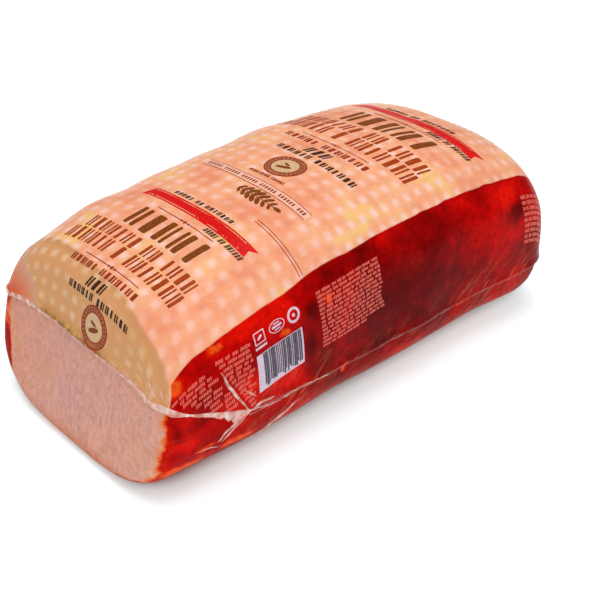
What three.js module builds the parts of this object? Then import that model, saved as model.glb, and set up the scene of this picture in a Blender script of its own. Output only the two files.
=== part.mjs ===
// A whole marinated roast pork loin, shut in its shrunk deli film.
// Millimetres, +Z up. The loin lies along X: its straight cut end looks towards -X, its rounded
// end towards +X. The long sides look towards -Y and +Y, and z = 0 is the flat it rests on.
import * as THREE from "three";
import { mergeVertices } from "three/addons/utils/BufferGeometryUtils.js";

// Driving sizes of the loin
const LENGTH = 330;
const WIDTH = 175;
const HEIGHT = 122.7;

// The crown sinks from its highest place towards both ends
const CROWN_AT = 0.32;
const CUT_END_HEIGHT = 97.5;
const ROUND_END_HEIGHT = 101.5;

// Width at each end, as a share of WIDTH
const CUT_END_WIDTH = 0.94;
const ROUND_END_WIDTH = 1.09;

// The section is a superellipse, fuller below its widest level than above it.
// Below, it is cut off level by BASE_SINK, which leaves the flat that the loin rests on.
const WIDEST_LEVEL = 47.3;
const UPPER_FULLNESS = 2.76;
const LOWER_FULLNESS = 3.21;
const BASE_SINK = 2;

// The cut end has a rounded rim, and leans back as it rises
const RIM_RADIUS = 13.3;
const RIM_INSET = 0.166;
const LEAN_STRAIGHT = 7.7;
const LEAN_CURVED = 22.3;
const LEAN_POWER = 1.3;
const LEAN_FROM = 0.04;
const LEAN_TO = 0.9;
const LEAN_REACH = 80;

// The rounded end
const NOSE_LENGTH = 42.4;
const NOSE_FULLNESS = 2.38;

// The weld where the deep lower film meets the upper film. It is high across the cut end and
// runs down along both sides.
const WELD_NEAR_LEVEL = 69.5;
const WELD_FAR_LEVEL = 32;
const WELD_FALL_LENGTH = 40;
const WELD_RISE = 1.5;
const WELD_HALF_WIDTH = 4;
const WELD_LUMP_LENGTH = 23;
const WELD_LUMP_SHARE = 0.25;

// Folds of slack film beside the weld on the shown side: start, end, half width and rise
const SLACK_FOLDS = [
  { from: [-147, -79, 58], to: [-105, -86, 43], reach: 4.5, rise: 1.6 },
  { from: [-105, -86, 43], to: [-119, -84, 67], reach: 3.2, rise: 1.3 },
  { from: [-105, -86, 43], to: [-123, -83, 27], reach: 3.6, rise: 1.2 },
  { from: [-72, -87, 31], to: [-92, -83, 17], reach: 3.4, rise: 1.0 },
];

// Slow swells in the meat under the film: wave length along the loin, waves round it, height.
// They die out within SWELL_FREE_RADIUS of the middle of each end.
const SWELLS = [
  { along: 118, round: 2, phase: 0.4, height: 0.7 },
  { along: 67, round: 3, phase: 2.1, height: 0.45 },
  { along: 41, round: 5, phase: 4.0, height: 0.3 },
];
const SWELL_FREE_RADIUS = 45;

// No relief below this level, so that the base stays flat
const RELIEF_FREE_LEVEL = 9;

// Mesh rows from the middle of the cut end to the tip of the rounded end, and columns from the
// base up to the weld and on to the crown, on each side
const FACE_ROWS = 5;
const RIM_ROWS = 5;
const BODY_ROWS = 30;
const NOSE_ROWS = 11;
const COLUMNS_BELOW = 15;
const COLUMNS_ABOVE = 21;

// The cut face closes onto a narrow band along the weld, this share of the rim's width long
const FACE_BAND_SHARE = 0.82;
const SMALLEST_SHRINK = 0.1;

const HALF_LENGTH = LENGTH / 2;
const QUARTER_TURN = Math.PI / 2;

// Height and half width of the section at a station along the loin
function sectionSize(station) {
  const along = station / HALF_LENGTH;
  const towardsCut = along < CROWN_AT;
  const endHeight = towardsCut ? CUT_END_HEIGHT : ROUND_END_HEIGHT;
  const reach = towardsCut ? CROWN_AT + 1 : 1 - CROWN_AT;
  const height = HEIGHT - (HEIGHT - endHeight) * ((along - CROWN_AT) / reach) ** 2;
  const endWidth = along < 0 ? CUT_END_WIDTH : ROUND_END_WIDTH;
  const halfWidth = (WIDTH / 2) * (1 - (1 - endWidth) * along ** 2);
  return { height, halfWidth };
}

// How far the cut end leans back at a level, fading out along the loin
function leanBack(station, level) {
  const fade = 1 - THREE.MathUtils.smoothstep(station, -HALF_LENGTH, LEAN_REACH - HALF_LENGTH);
  const rise = level / HEIGHT;
  const curved = Math.max(0, (rise - LEAN_FROM) / (LEAN_TO - LEAN_FROM));
  return fade * (LEAN_STRAIGHT * rise + LEAN_CURVED * curved ** LEAN_POWER);
}

// Angle round the section at which the weld runs, 0 at the widest level
function weldAngle(station) {
  const fall = Math.exp(-(station + HALF_LENGTH) / WELD_FALL_LENGTH);
  const level = WELD_FAR_LEVEL + (WELD_NEAR_LEVEL - WELD_FAR_LEVEL) * fall;
  const above = level > WIDEST_LEVEL;
  const room = above ? sectionSize(station).height - WIDEST_LEVEL : WIDEST_LEVEL + BASE_SINK;
  const fullness = above ? UPPER_FULLNESS : LOWER_FULLNESS;
  const up = Math.abs(level - WIDEST_LEVEL) / room;
  const out = (1 - up ** fullness) ** (1 / fullness);
  return Math.sign(level - WIDEST_LEVEL) * Math.atan2(up, out);
}

// Point on the section at an angle, with the section shrunk round its widest level
function sectionPoint(station, shrink, angle) {
  const { height, halfWidth } = sectionSize(station);
  const upper = Math.sin(angle) > 0;
  const fullness = upper ? UPPER_FULLNESS : LOWER_FULLNESS;
  const room = upper ? height - WIDEST_LEVEL : WIDEST_LEVEL + BASE_SINK;
  const across = Math.abs(Math.cos(angle)) ** fullness + Math.abs(Math.sin(angle)) ** fullness;
  const radius = shrink * across ** (-1 / fullness);
  const y = halfWidth * radius * Math.cos(angle);
  const z = Math.max(WIDEST_LEVEL + room * radius * Math.sin(angle), 0);
  return new THREE.Vector3(station + leanBack(station, z), y, z);
}

// Rows: the rim of the cut end, the body and the rounded end, each a station and a shrink
function bodyRows() {
  const rows = [];
  for (let i = 0; i < RIM_ROWS; i += 1) {
    const turn = (QUARTER_TURN * i) / RIM_ROWS;
    rows.push({
      station: -HALF_LENGTH + RIM_RADIUS * (1 - Math.cos(turn)),
      shrink: 1 - RIM_INSET * (1 - Math.sin(turn)),
    });
  }
  const bodyLength = LENGTH - RIM_RADIUS - NOSE_LENGTH;
  for (let i = 0; i < BODY_ROWS; i += 1) {
    rows.push({ station: -HALF_LENGTH + RIM_RADIUS + (bodyLength * i) / BODY_ROWS, shrink: 1 });
  }
  for (let i = 0; i < NOSE_ROWS; i += 1) {
    const turn = (QUARTER_TURN * i) / NOSE_ROWS;
    rows.push({
      station: HALF_LENGTH - NOSE_LENGTH * (1 - Math.sin(turn) ** (2 / NOSE_FULLNESS)),
      shrink: Math.cos(turn) ** (2 / NOSE_FULLNESS),
    });
  }
  return rows;
}

// Angles from the base up one side, with a column at each edge of the weld, to the crown
function sideAngles(station, shrink) {
  const weld = weldAngle(station);
  const weldTurn = WELD_HALF_WIDTH / (sectionSize(station).halfWidth * Math.max(shrink, SMALLEST_SHRINK));
  const below = weld - weldTurn;
  const above = weld + weldTurn;
  const angles = [];
  for (let i = 0; i < COLUMNS_BELOW; i += 1) {
    angles.push(THREE.MathUtils.lerp(-QUARTER_TURN, below, i / (COLUMNS_BELOW - 1)));
  }
  angles.push(weld);
  for (let i = 0; i < COLUMNS_ABOVE - 1; i += 1) {
    angles.push(THREE.MathUtils.lerp(above, QUARTER_TURN, i / (COLUMNS_ABOVE - 2)));
  }
  return angles;
}

// The full ring of a row: up the -Y side to the crown, then down the +Y side
function ring({ station, shrink }) {
  const side = sideAngles(station, shrink);
  const shown = side.map((angle) => sectionPoint(station, shrink, Math.PI - angle));
  const hidden = side.slice(1, -1).map((angle) => sectionPoint(station, shrink, angle));
  return [...shown, ...hidden.reverse()];
}

// Rings of the cut face, from the middle out. They close in from the rim onto a band as high as
// the weld is wide, so that the weld runs straight and evenly wide across the face.
function faceRings(rim) {
  const weldMiddle = rim[COLUMNS_BELOW].z;
  const onFace = (y, z) => new THREE.Vector3(leanBack(-HALF_LENGTH, z) - HALF_LENGTH, y, z);
  const band = rim.map((edge) => {
    const rise = THREE.MathUtils.clamp(edge.z - weldMiddle, -WELD_HALF_WIDTH, WELD_HALF_WIDTH);
    return new THREE.Vector3(edge.x, edge.y * FACE_BAND_SHARE, weldMiddle + rise);
  });
  const rings = [rim.map(() => onFace(0, weldMiddle))];
  for (let i = 0; i < FACE_ROWS; i += 1) {
    rings.push(band.map((inner, column) => {
      const point = inner.clone().lerp(rim[column], i / FACE_ROWS);
      return onFace(point.y, point.z);
    }));
  }
  return rings;
}

// All rings from the middle of the cut end to the tip of the rounded end
function loinRings() {
  const rings = bodyRows().map(ring);
  const tip = rings[0].map(() => new THREE.Vector3(HALF_LENGTH, 0, WIDEST_LEVEL));
  return [...faceRings(rings[0]), ...rings, tip];
}

// Rise of a fold at a place: full on the line of the fold, dying out beside it
function foldRise(point, fold) {
  const line = new THREE.Line3(new THREE.Vector3(...fold.from), new THREE.Vector3(...fold.to));
  const nearest = line.closestPointToPoint(point, true, new THREE.Vector3());
  return fold.rise * Math.exp(-((nearest.distanceTo(point) / fold.reach) ** 2));
}

// Slow swells of the meat
function swellRise(point) {
  const round = Math.atan2(point.z - WIDEST_LEVEL, point.y);
  const offAxis = Math.hypot(point.z - WIDEST_LEVEL, point.y);
  const fade = THREE.MathUtils.smoothstep(offAxis, 0, SWELL_FREE_RADIUS);
  return SWELLS.reduce((rise, swell) => {
    const wave = (2 * Math.PI * point.x) / swell.along + swell.phase;
    return rise + fade * swell.height * Math.sin(wave) * Math.sin(swell.round * round + swell.phase);
  }, 0);
}

// Everything that stands out of the plain form, on the weld line and off it
function reliefRise(point, onWeld) {
  const lumps = 1 - WELD_LUMP_SHARE * Math.sin((point.x + point.y) / (WELD_LUMP_LENGTH / Math.PI));
  const weld = onWeld ? WELD_RISE * lumps : 0;
  const folds = Math.max(...SLACK_FOLDS.map((fold) => foldRise(point, fold)));
  const clear = THREE.MathUtils.smoothstep(point.z, 0, RELIEF_FREE_LEVEL);
  return clear * (Math.max(weld, folds) + swellRise(point));
}

// Lays the rings onto the rows and columns of a sphere's mesh, which closes both ends. The middle
// of the cut end and the tip of the rounded end both lie on the weld.
function plainForm() {
  const rings = loinRings();
  const columns = rings[0].length;
  const rows = rings.length - 1;
  const weldColumns = [COLUMNS_BELOW, columns - COLUMNS_BELOW];
  const skin = new THREE.SphereGeometry(1, columns, rows);
  const position = skin.getAttribute("position");
  const onWeld = new Float32Array(position.count);
  for (let row = 0; row <= rows; row += 1) {
    for (let column = 0; column <= columns; column += 1) {
      const vertex = row * (columns + 1) + column;
      const point = rings[row][column % columns];
      const atPole = row === 0 || row === rows;
      position.setXYZ(vertex, point.x, point.y, point.z);
      onWeld[vertex] = atPole || weldColumns.includes(column % columns) ? 1 : 0;
    }
  }
  skin.deleteAttribute("normal");
  skin.deleteAttribute("uv");
  skin.setAttribute("onWeld", new THREE.BufferAttribute(onWeld, 1));
  return mergeVertices(skin);
}

// Raises weld, folds and swells out of the plain form, along its normals
function raiseRelief(form) {
  form.computeVertexNormals();
  const position = form.getAttribute("position");
  const normals = form.getAttribute("normal");
  const onWeld = form.getAttribute("onWeld");
  for (let vertex = 0; vertex < position.count; vertex += 1) {
    const point = new THREE.Vector3().fromBufferAttribute(position, vertex);
    const normal = new THREE.Vector3().fromBufferAttribute(normals, vertex);
    point.addScaledVector(normal, reliefRise(point, onWeld.getX(vertex) > 0));
    position.setXYZ(vertex, point.x, point.y, point.z);
  }
}

// Puts the origin at the bottom centre of the loin's box
function standOnOrigin(form) {
  form.computeBoundingBox();
  const middle = form.boundingBox.getCenter(new THREE.Vector3());
  form.translate(-middle.x, -middle.y, -form.boundingBox.min.z);
}

// The film is shrunk tight on the meat, so that film and loin are one closed body
function filmPackedLoin() {
  const form = plainForm();
  raiseRelief(form);
  standOnOrigin(form);
  form.deleteAttribute("onWeld");
  form.computeVertexNormals();
  const glossyFilm = new THREE.MeshStandardMaterial({ color: 0xe09a72, roughness: 0.3, metalness: 0 });
  const loin = new THREE.Mesh(form, glossyFilm);
  loin.name = "film_packed_loin";
  return loin;
}

const part = new THREE.Group();
part.add(filmPackedLoin());

export default part;
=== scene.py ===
import math
import random
from collections import namedtuple

import bmesh
import bpy
import numpy as np
from mathutils import Matrix, Vector, kdtree, noise


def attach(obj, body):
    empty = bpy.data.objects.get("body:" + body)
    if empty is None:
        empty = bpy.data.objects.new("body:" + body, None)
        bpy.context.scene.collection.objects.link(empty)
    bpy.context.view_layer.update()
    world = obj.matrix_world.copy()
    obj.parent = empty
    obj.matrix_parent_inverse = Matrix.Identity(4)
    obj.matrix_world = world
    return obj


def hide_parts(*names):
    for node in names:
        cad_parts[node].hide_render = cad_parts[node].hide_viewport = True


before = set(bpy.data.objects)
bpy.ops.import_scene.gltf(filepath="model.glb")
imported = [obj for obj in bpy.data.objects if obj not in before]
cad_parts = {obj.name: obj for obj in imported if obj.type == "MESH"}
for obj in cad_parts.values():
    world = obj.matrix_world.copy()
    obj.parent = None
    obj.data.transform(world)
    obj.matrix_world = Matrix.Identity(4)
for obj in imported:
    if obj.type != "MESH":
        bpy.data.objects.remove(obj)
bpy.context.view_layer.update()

LOIN_NODE = "film_packed_loin"
MM = 0.001
QUARTER_TURN = math.pi / 2
HALF_TURN = math.pi
FULL_TURN = 2 * math.pi

# Form of the loin, as in the frame's solid
LENGTH = 330.0
WIDTH = 175.0
HEIGHT = 122.7
HALF_LENGTH = LENGTH / 2
CROWN_AT = 0.32
CUT_END_HEIGHT = 97.5
ROUND_END_HEIGHT = 101.5
CUT_END_WIDTH = 0.94
ROUND_END_WIDTH = 1.09
WIDEST_LEVEL = 47.3
UPPER_FULLNESS = 2.76
LOWER_FULLNESS = 3.21
BASE_SINK = 2.0
RIM_RADIUS = 13.3
RIM_INSET = 0.166
LEAN_STRAIGHT = 7.7
LEAN_CURVED = 22.3
LEAN_POWER = 1.3
LEAN_FROM = 0.04
LEAN_TO = 0.9
LEAN_REACH = 80.0
NOSE_LENGTH = 42.4
NOSE_FULLNESS = 2.38

# The frame's box is centred with weld and swells on, which moves the plain form by this much
FORM_SHIFT = np.array([-0.658, -0.252, 0.0])

# Weld between the two films: its level at the cut end, far along, and how fast it runs down, and
# how far it arches up across the cut end, between two distances from the middle
WELD_NEAR_LEVEL = 62.5
WELD_FAR_LEVEL = 36.0
WELD_FALL_LENGTH = 36.0
WELD_LIFT = 2.0
WELD_LIFT_AT = -138.0
WELD_LIFT_REACH = 14.0
WELD_ARCH = 4.0
WELD_ARCH_FROM = 45.0
WELD_ARCH_TO = 80.0
WELD_RISE = 0.75
WELD_REACH = 2.2

# Swells of the meat, as in the frame's solid: wave length along, waves round, phase, height
SWELLS = ((118, 2, 0.4, 0.7), (67, 3, 2.1, 0.45), (41, 5, 4.0, 0.3))
SWELL_FREE_RADIUS = 45.0
RELIEF_FREE_LEVEL = 9.0

# Dents where the film is drawn onto uneven meat: size of a dent, depth, noise seed
DENTS = ((24.0, 0.5, 3.0), (8.5, 0.2, 11.0))

# Slack folds of the film: both ends, reach to either side, rise
Fold = namedtuple("Fold", "start end reach rise")
SLACK_FOLDS = (
    Fold((-147, -79, 58), (-105, -86, 43), 4.5, 1.2),
    Fold((-105, -86, 43), (-119, -84, 67), 3.2, 1.0),
    Fold((-105, -86, 43), (-123, -83, 27), 3.6, 1.0),
    Fold((-72, -87, 31), (-92, -83, 17), 3.4, 0.8),
    Fold((-137, 52, 91), (-149, 39, 68), 2.6, 0.9),
    Fold((-146, -56, 84), (-150, -54, 67), 2.4, 0.7),
)

# Short puckers across the weld: spacing, height, and how far they reach from it
PUCKER_SPACING = 5.2
PUCKER_RISE = 0.3
PUCKER_REACH = 7.0

# Fineness of the meshes, in rows along and columns round
FACE_ROWS = 18
RIM_ROWS = 10
NOSE_ROWS = 30
BODY_ROWS = 150
UPPER_COLUMNS = 150
LOWER_COLUMNS = 110
FACE_WELD_SHARE = 0.97
MEAT_COLUMNS = 168
MEAT_FACE_ROWS = 26

# Thicknesses and gaps
FILM_THICKNESS = 0.12
MEAT_UNDER_FILM = 0.6
INK_LIFT = 0.1
INK_SINK = 0.05
LATTICE = 2.5

CUT_EDGE_ROW = 5
FACE_MIDDLE_LEVEL = 50.0
WELD_LOOK = 2

# Marinade: soft oval places where it lies thin and orange, and fresh and bright; the dark places are partly
# pooled marinade and partly painted shade, with a broad painted shadow over the far half of the near side
Place = namedtuple("Place", "middle reach strength")
THIN_MARINADE = (
    Place((-118, -77, 80), (6, 9, 4), 0.85),
    Place((-143, -77, 68), (7, 8, 6), 0.9),
    Place((-77, -84, 74), (4.5, 9, 3.2), 0.95),
    Place((-47, -83, 80), (3, 8, 6), 0.8),
    Place((-37, -87, 34), (3, 8, 5), 0.75),
    Place((-151, -79, 49), (4, 8, 10), 0.6),
    Place((-146, -79, 18), (18, 12, 6), 1.0),
    Place((-128, -82, 27), (9, 12, 3), 0.7),
    Place((-112, -82, 21), (22, 12, 5), 0.72),
    Place((-62, -85, 19), (30, 12, 5), 0.6),
    Place((40, -86, 14), (70, 16, 5), 0.5),
    Place((-157, 70, 48), (8, 10, 12), 1.0),
    Place((-60, 84, 30), (40, 14, 8), 0.6),
    Place((70, 86, 62), (22, 14, 6), 0.7),
    Place((150, 30, 60), (20, 24, 14), 0.6),
)
BRIGHT_MARINADE = (
    Place((-102, -79, 82), (34, 9, 9), 1.0),
    Place((-104, -85, 54), (9, 6, 7), 0.8),
    Place((-76, -86, 49), (12, 6, 8), 1.0),
    Place((-140, -82, 35), (7, 8, 4), 0.7),
    Place((-160, -72, 30), (10, 12, 20), 0.5),
    Place((116, -82, 92), (20, 12, 7), 0.3),
    Place((-90, 84, 60), (40, 10, 12), 0.6),
    Place((20, 86, 30), (60, 12, 10), 0.5),
)
# Dark places: pooled marinade, and painted shade and painted shadow
POOLED_MARINADE_AND_PAINTED_SHADE = (
    Place((-128, -83, 58), (15, 10, 11), 0.62),
    Place((-59, -84, 78), (6, 9, 6), 0.7),
    Place((-62, -86, 62), (7, 10, 16), 0.75),
    Place((-146, -80, 44), (5, 7, 7), 0.75),
    Place((-10, -88, 40), (26, 14, 14), 0.7),
    Place((-40, -78, 92), (18, 10, 8), 0.65),
    Place((-133, -83, 46), (14, 8, 5), 0.5),
    Place((10, -90, 60), (70, 22, 48), 0.75),
    Place((110, -87, 79), (14, 12, 8), 0.8),
    Place((126, -88, 60), (14, 14, 9), 0.65),
    Place((150, -70, 35), (32, 34, 26), 0.9),
    Place((-20, 86, 62), (40, 16, 22), 0.7),
    Place((110, 86, 34), (40, 20, 16), 0.8),
)

# Where the films are gathered into fine ridges
GATHERS = (
    Place((-140, -70, 82), (14, 16, 12), 0.35),
    Place((-126, -82, 60), (18, 12, 14), 0.7),
    Place((-100, -84, 34), (30, 14, 14), 1.0),
    Place((-145, 62, 78), (16, 18, 14), 0.8),
    Place((-100, 84, 34), (34, 14, 14), 0.7),
    Place((160, 0, 40), (16, 60, 26), 0.7),
)

# The marinade soaks further in from the rind on the far side of the cut end
FAR_SOAK = 18.0
FAR_SOAK_FROM = 55.0
FAR_SOAK_TO = 68.0
FAR_SOAK_LEVELS = (34.0, 54.0)
FAR_SOAK_LOST = 0.55
LOW_SOAK = 5.0
LOW_SOAK_LEVEL = 14.0
LOW_SOAK_SIDES = (-70.0, -48.0)

# On the near side the pale flesh reaches further round the edge, low down
NEAR_FLESH = 2.5
NEAR_FLESH_SIDES = (-78.0, -60.0)
NEAR_FLESH_LEVELS = (20.0, 38.0)

# Haze of the film where it turns under, partly a painted highlight along the bottom edge: how high it reaches
# on the cut end and on the sides
FOOT_ON_FACE = 11.0
FOOT_ON_SIDE = 20.0
FOOT_SIDES = (55.0, 80.0)
FOOT_FULL = 0.4

# Print of the labels, in print coordinates: along from a label's first rule, and across the loin
Label = namedtuple("Label", "rule stretch_along stretch_across badge_across")
NEAR_LABEL = Label(-131.0, 1.0, 1.0, -16.0)
FAR_LABEL = Label(30.5, 1.25, 1.15, -9.0)
LABEL_MIDDLE = -9.0

Line = namedtuple("Line", "along height start end words lean")
RUST_LINES = (
    Line(9.3, 9.5, 45.0, -55.5, (6, 1, 7), 0.06),
    Line(19.2, 8.5, 38.7, -54.5, (7, 2, 4), 0.12),
)
BROWN_LINES = (
    Line(34.5, 16.0, 18.7, -43.7, (5,), 0.08),
)
SMALL_BROWN_LINES = (
    Line(-4.8, 4.2, 23.0, -38.0, (5, 7), 0.0),
    Line(106.3, 2.4, 5.0, -24.5, (9, 6), 0.0),
)
DARK_LINES = (
    Line(-18.5, 4.0, 13.0, -43.7, (6, 7), 0.0),
    Line(-12.0, 6.0, -1.0, -18.0, (3,), 0.25),
    Line(62.7, 2.8, 17.5, -32.5, (5, 2, 7), 0.2),
    Line(49.5, 3.2, -25.0, -55.5, (5, 2, 6), 0.3),
)
WORD_GAP = 0.7
MARK_CORNER = 0.08

# Plain bars in place of words: offset and width of each upright in its pitch
MARK_SHAPES = (
    ((0.2, 0.24), (0.62, 0.24)),
    ((0.4, 0.5),),
    ((0.22, 0.34), (0.66, 0.18)),
    ((0.2, 0.2), (0.6, 0.32)),
    ((0.4, 0.34),),
)

RULE_WIDTH = 0.45
RULE_DIAMOND = 2.6
RULE_DOT = 1.4
RULE_DOT_GAP = 2.8
LABEL_RULES = ((0.0, 16.0, -32.5), (46.0, 11.0, -36.0))

SPRIG_OFFSET = 88.0
SPRIG_START = -7.0
SPRIG_END = -36.0
SPRIG_STEM = 0.5
SPRIG_LEAVES = 7
SPRIG_LEAF = 5.6
SPRIG_LEAF_TURN = 0.7

BADGE_OFFSET = -32.5
BADGE_RADIUS = 11.7
BADGE_BAND = 4.0
BADGE_RIM = 0.8
BADGE_MARKS = 26
BADGE_MARK = 1.4
BADGE_GAP = 0.96
BADGE_GAP_TURN = HALF_TURN
BADGE_LEAF = 9.0

STRIP_OFFSET = 97.8
STRIP_WIDTH = 6.0
STRIP_START = 33.7
STRIP_END = -53.0
STRIP_RULE = 0.35
STRIP_MARK_PITCH = 2.2

RIBBON_OFFSET = 55.7
RIBBON_START = 36.0
RIBBON_END = -54.5
RIBBON_HEIGHT = 8.0
RIBBON_LINE = 0.45
RIBBON_LINE_PLACE = 0.34
RIBBON_LINE_INSET = 12.0

# Fine double line printed beyond the first label
SEAM_LINES = ((-58.8, -39.0, -79.0), (-56.8, -39.0, -79.0))
SEAM_LINE_WIDTH = 0.35

# Clear windows down both sides, through which the marinade shows: their upper edges
WINDOW_ACROSS_NEAR = -79.8
WINDOW_ACROSS_FAR = 66.0
WINDOW_DIP = 2.4
WINDOW_DIP_ENDS = (-80.0, -50.0)

# Small print in the windows: side is which side of the slack crease a block keeps to
Block = namedtuple("Block", "along across length rows pitch turn toward side")
NEAR_BLOCKS = (
    Block(-119.0, -91.5, 20.5, 14, 2.7, -9.0, 1, 1),
    Block(-138.5, -96.5, 36.0, 11, 3.1, 7.0, 1, -1),
    Block(-54.0, -91.0, 47.0, 14, 2.35, 0.0, 1, 0),
    Block(118.0, -94.0, 26.0, 9, 3.7, 0.0, 1, 0),
)
FAR_BLOCKS = (
    Block(-112.0, 78.0, 44.0, 14, 2.35, 0.0, -1, 0),
    Block(60.0, 78.0, 60.0, 14, 2.35, 0.0, -1, 0),
)
SMALL_WORD = (2.2, 6.5)
SMALL_WORD_GAP = 0.9
SMALL_TYPE_HEIGHT = 0.58
SMALL_TYPE_CLEAR = 2.6
STROKE_PITCH = 0.75
STROKE_WIDTH = 0.5
STROKE_TALL = 1.35
STROKE_TALL_SHARE = 0.25
SMALL_TYPE_SEED = 7
CREASE_TOP = (-117.0, -92.0)
CREASE_FOOT = (-102.0, -129.0)
CREASE_CLEAR = 0.8

# Striped code panel and the row of plain signs over it: middle along, middle across
CodePanel = namedtuple("CodePanel", "along across length depth toward")
NEAR_PANEL = CodePanel(-82.0, -113.5, 30.0, 21.0, 1)
FAR_PANEL = CodePanel(10.0, 100.0, 30.0, 21.0, -1)
PANEL_MARGIN = 3.5
PANEL_BARS = 22
PANEL_BAR_WIDTH = (0.55, 1.3)
PANEL_SEED = 12
SIGN_GAP = 19.0
SIGN_LINE = 0.55
SIGN_PLACES = (-11.3, 0.0, 11.5)

# Weld ribbon: share of its width above the weld line, and how high it stands off the film
RIBBON_ABOVE = 0.3
RIBBON_STEPS = 6
RIBBON_LOW = 0.15
RIBBON_HIGH = 0.6
RIBBON_CRINKLE = 0.22
RIBBON_CRINKLE_SIZE = 4.0
RIBBON_TOOTH = 2.2
RIBBON_THICKNESS = 0.15

# Sharp pleats of the film: their line, width and rise
Pleat = namedtuple("Pleat", "line width rise")
PLEATS = (
    Pleat(((-119, -82, 69), (-116, -84, 60), (-111, -85, 51), (-105, -85, 40)), 1.9, 0.9),
    Pleat(((-107, -85, 54), (-104, -85, 51), (-100, -86, 47)), 1.2, 0.5),
    Pleat(((-105, -85, 41), (-97, -86, 42), (-88, -86, 41)), 1.7, 0.7),
    Pleat(((-105, -85, 38), (-96, -86, 38), (-80, -86, 37), (-66, -87, 38), (-48, -87, 36)), 1.0, 0.4),
    Pleat(((-105, -85, 40), (-113, -85, 37), (-120, -84, 33), (-124, -84, 29)), 1.3, 0.6),
    Pleat(((-108, -85, 38), (-115, -85, 34), (-122, -84, 28)), 1.1, 0.5),
    Pleat(((-71, -86, 30), (-79, -84, 26), (-89, -83, 22), (-101, -77, 14)), 1.5, 0.8),
    Pleat(((-137, -84, 27), (-130, -83, 27), (-122, -82, 25)), 0.8, 0.3),
    Pleat(((-147, -71, 69), (-148, -74, 65), (-149, -77, 61)), 0.9, 0.5),
    Pleat(((-148, -64, 69), (-149, -68, 65), (-149, -72, 62)), 0.8, 0.4),
)
PLEAT_STEP = 1.1
PLEAT_PROFILE = ((-0.5, -0.1), (-0.2, 0.75), (0.0, 1.0), (0.25, 0.6), (0.5, -0.1))

# Woven check of the print, and what turns a pitch into the scale of Blender's wave, whose bands
# repeat after a twentieth of a full turn
CHECK_PITCH_ALONG = 9.0
CHECK_PITCH_ACROSS = 10.5
WAVE_TURN = FULL_TURN / 20

# Where the windows begin at the cut end, and how far their edge drops at that corner
WINDOW_START = -138.9
WINDOW_CORNER = -126.5
WINDOW_CORNER_DROP = 3.0

# Border of the beige cut end on the rim, and the crease beyond which the film is drawn round
END_BORDER = -136.0
END_BORDER_SLOPE = 0.1
END_BORDER_SLOPE_END = -40.0
END_BORDER_BLUR = 0.9
BORDER_BULGE = 2.2
BORDER_BULGE_AT = -52.0
BORDER_BULGE_REACH = 20.0
GUSSET_CREASE = 38.0
GUSSET_SLOPE = 0.45
GUSSET_CURVE = 0.009
GUSSET_LIMITS = (-5.0, 30.0)

# Juice held under the film in the weld's middle, on the cut end, its line along the weld partly painted shade
# of the gap there: reach of its tint, width of its line, share of the tint, and both its ends
JUICE_REACH = 12.0
JUICE_AND_GAP_SHADE_LINE = 3.2
JUICE_TINT = 0.45
JUICE_ENDS = (-40.0, -20.0, 30.0, 42.0)

# Inks: name, light and dark of their mottle
INKS = (
    ("brown", "#8C4A1C", "#753A12"),
    ("rust", "#B2481F", "#963816"),
    ("russet", "#A63C24", "#8C2E1A"),
    ("dark", "#4A3026", "#36211A"),
    ("red", "#E41C1A", "#CE1212"),
    ("ochre", "#B8704E", "#A86242"),
    ("cream", "#DDB992", "#D0A67C"),
    ("blush", "#F5C2AA", "#EFB49A"),
    ("slate", "#5C5660", "#48444E"),
    ("lilac", "#E2CCDA", "#D2BACC"),
    ("rose", "#EE7264", "#E06054"),
)
UPPER_INKS = ("dark", "russet", "brown", "slate")
INK_EDGE_ANGLE = math.radians(40)

# Studio, in metres
FLOOR_HALF = 6.0
FLOOR_GAP = 0.0003
# Painted light of the floor: its glow is nil at the loin's foot and grows away from it
GLOW_CORE = (0.132, 0.040, 1.0)
GLOW_START = 0.020
GLOW_END = 1.2
GLOW = ((0.0, "#000000"), (0.01, "#9CAEB0"), (0.017, "#AEBCBE"), (0.25, "#AEBCBE"), (1.0, "#D9D9D9"))
ROOM_LIGHT = 0.28
LIGHTS = (
    ("overhead_softbox", (0.0, 0.0, 1.6), 1.1, 15.6),
    ("front_fill", (-0.8, -1.1, 1.3), 0.7, 8.0),
)

# Camera, in metres and degrees
CAMERA_PLACE = (-0.34478, -0.38218, 0.34236)
CAMERA_YAW = 42.805
CAMERA_PITCH = 31.886
CAMERA_LENS = 57.16
CAMERA_SENSOR = 36.0

PRINT_MAP = "print_sheet"

Sheet = namedtuple("Sheet", "points normals along across from_weld")


def smooth(value, low, high):
    """0 below low, 1 above high, and a smooth step between them."""
    share = np.clip((value - low) / (high - low), 0.0, 1.0)
    return share * share * (3 - 2 * share)


# Plain form


def section_size(station):
    """Height and half width of the section at a station along the loin."""
    along = station / HALF_LENGTH
    towards_cut = along < CROWN_AT
    end_height = CUT_END_HEIGHT if towards_cut else ROUND_END_HEIGHT
    reach = CROWN_AT + 1 if towards_cut else 1 - CROWN_AT
    height = HEIGHT - (HEIGHT - end_height) * ((along - CROWN_AT) / reach) ** 2
    end_width = CUT_END_WIDTH if along < 0 else ROUND_END_WIDTH
    return height, WIDTH / 2 * (1 - (1 - end_width) * along**2)


def lean_back(station, level):
    """How far the cut end leans back at a level, fading out along the loin."""
    fade = 1 - smooth(station, -HALF_LENGTH, LEAN_REACH - HALF_LENGTH)
    rise = level / HEIGHT
    curved = max(0.0, (rise - LEAN_FROM) / (LEAN_TO - LEAN_FROM))
    return fade * (LEAN_STRAIGHT * rise + LEAN_CURVED * curved**LEAN_POWER)


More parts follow.
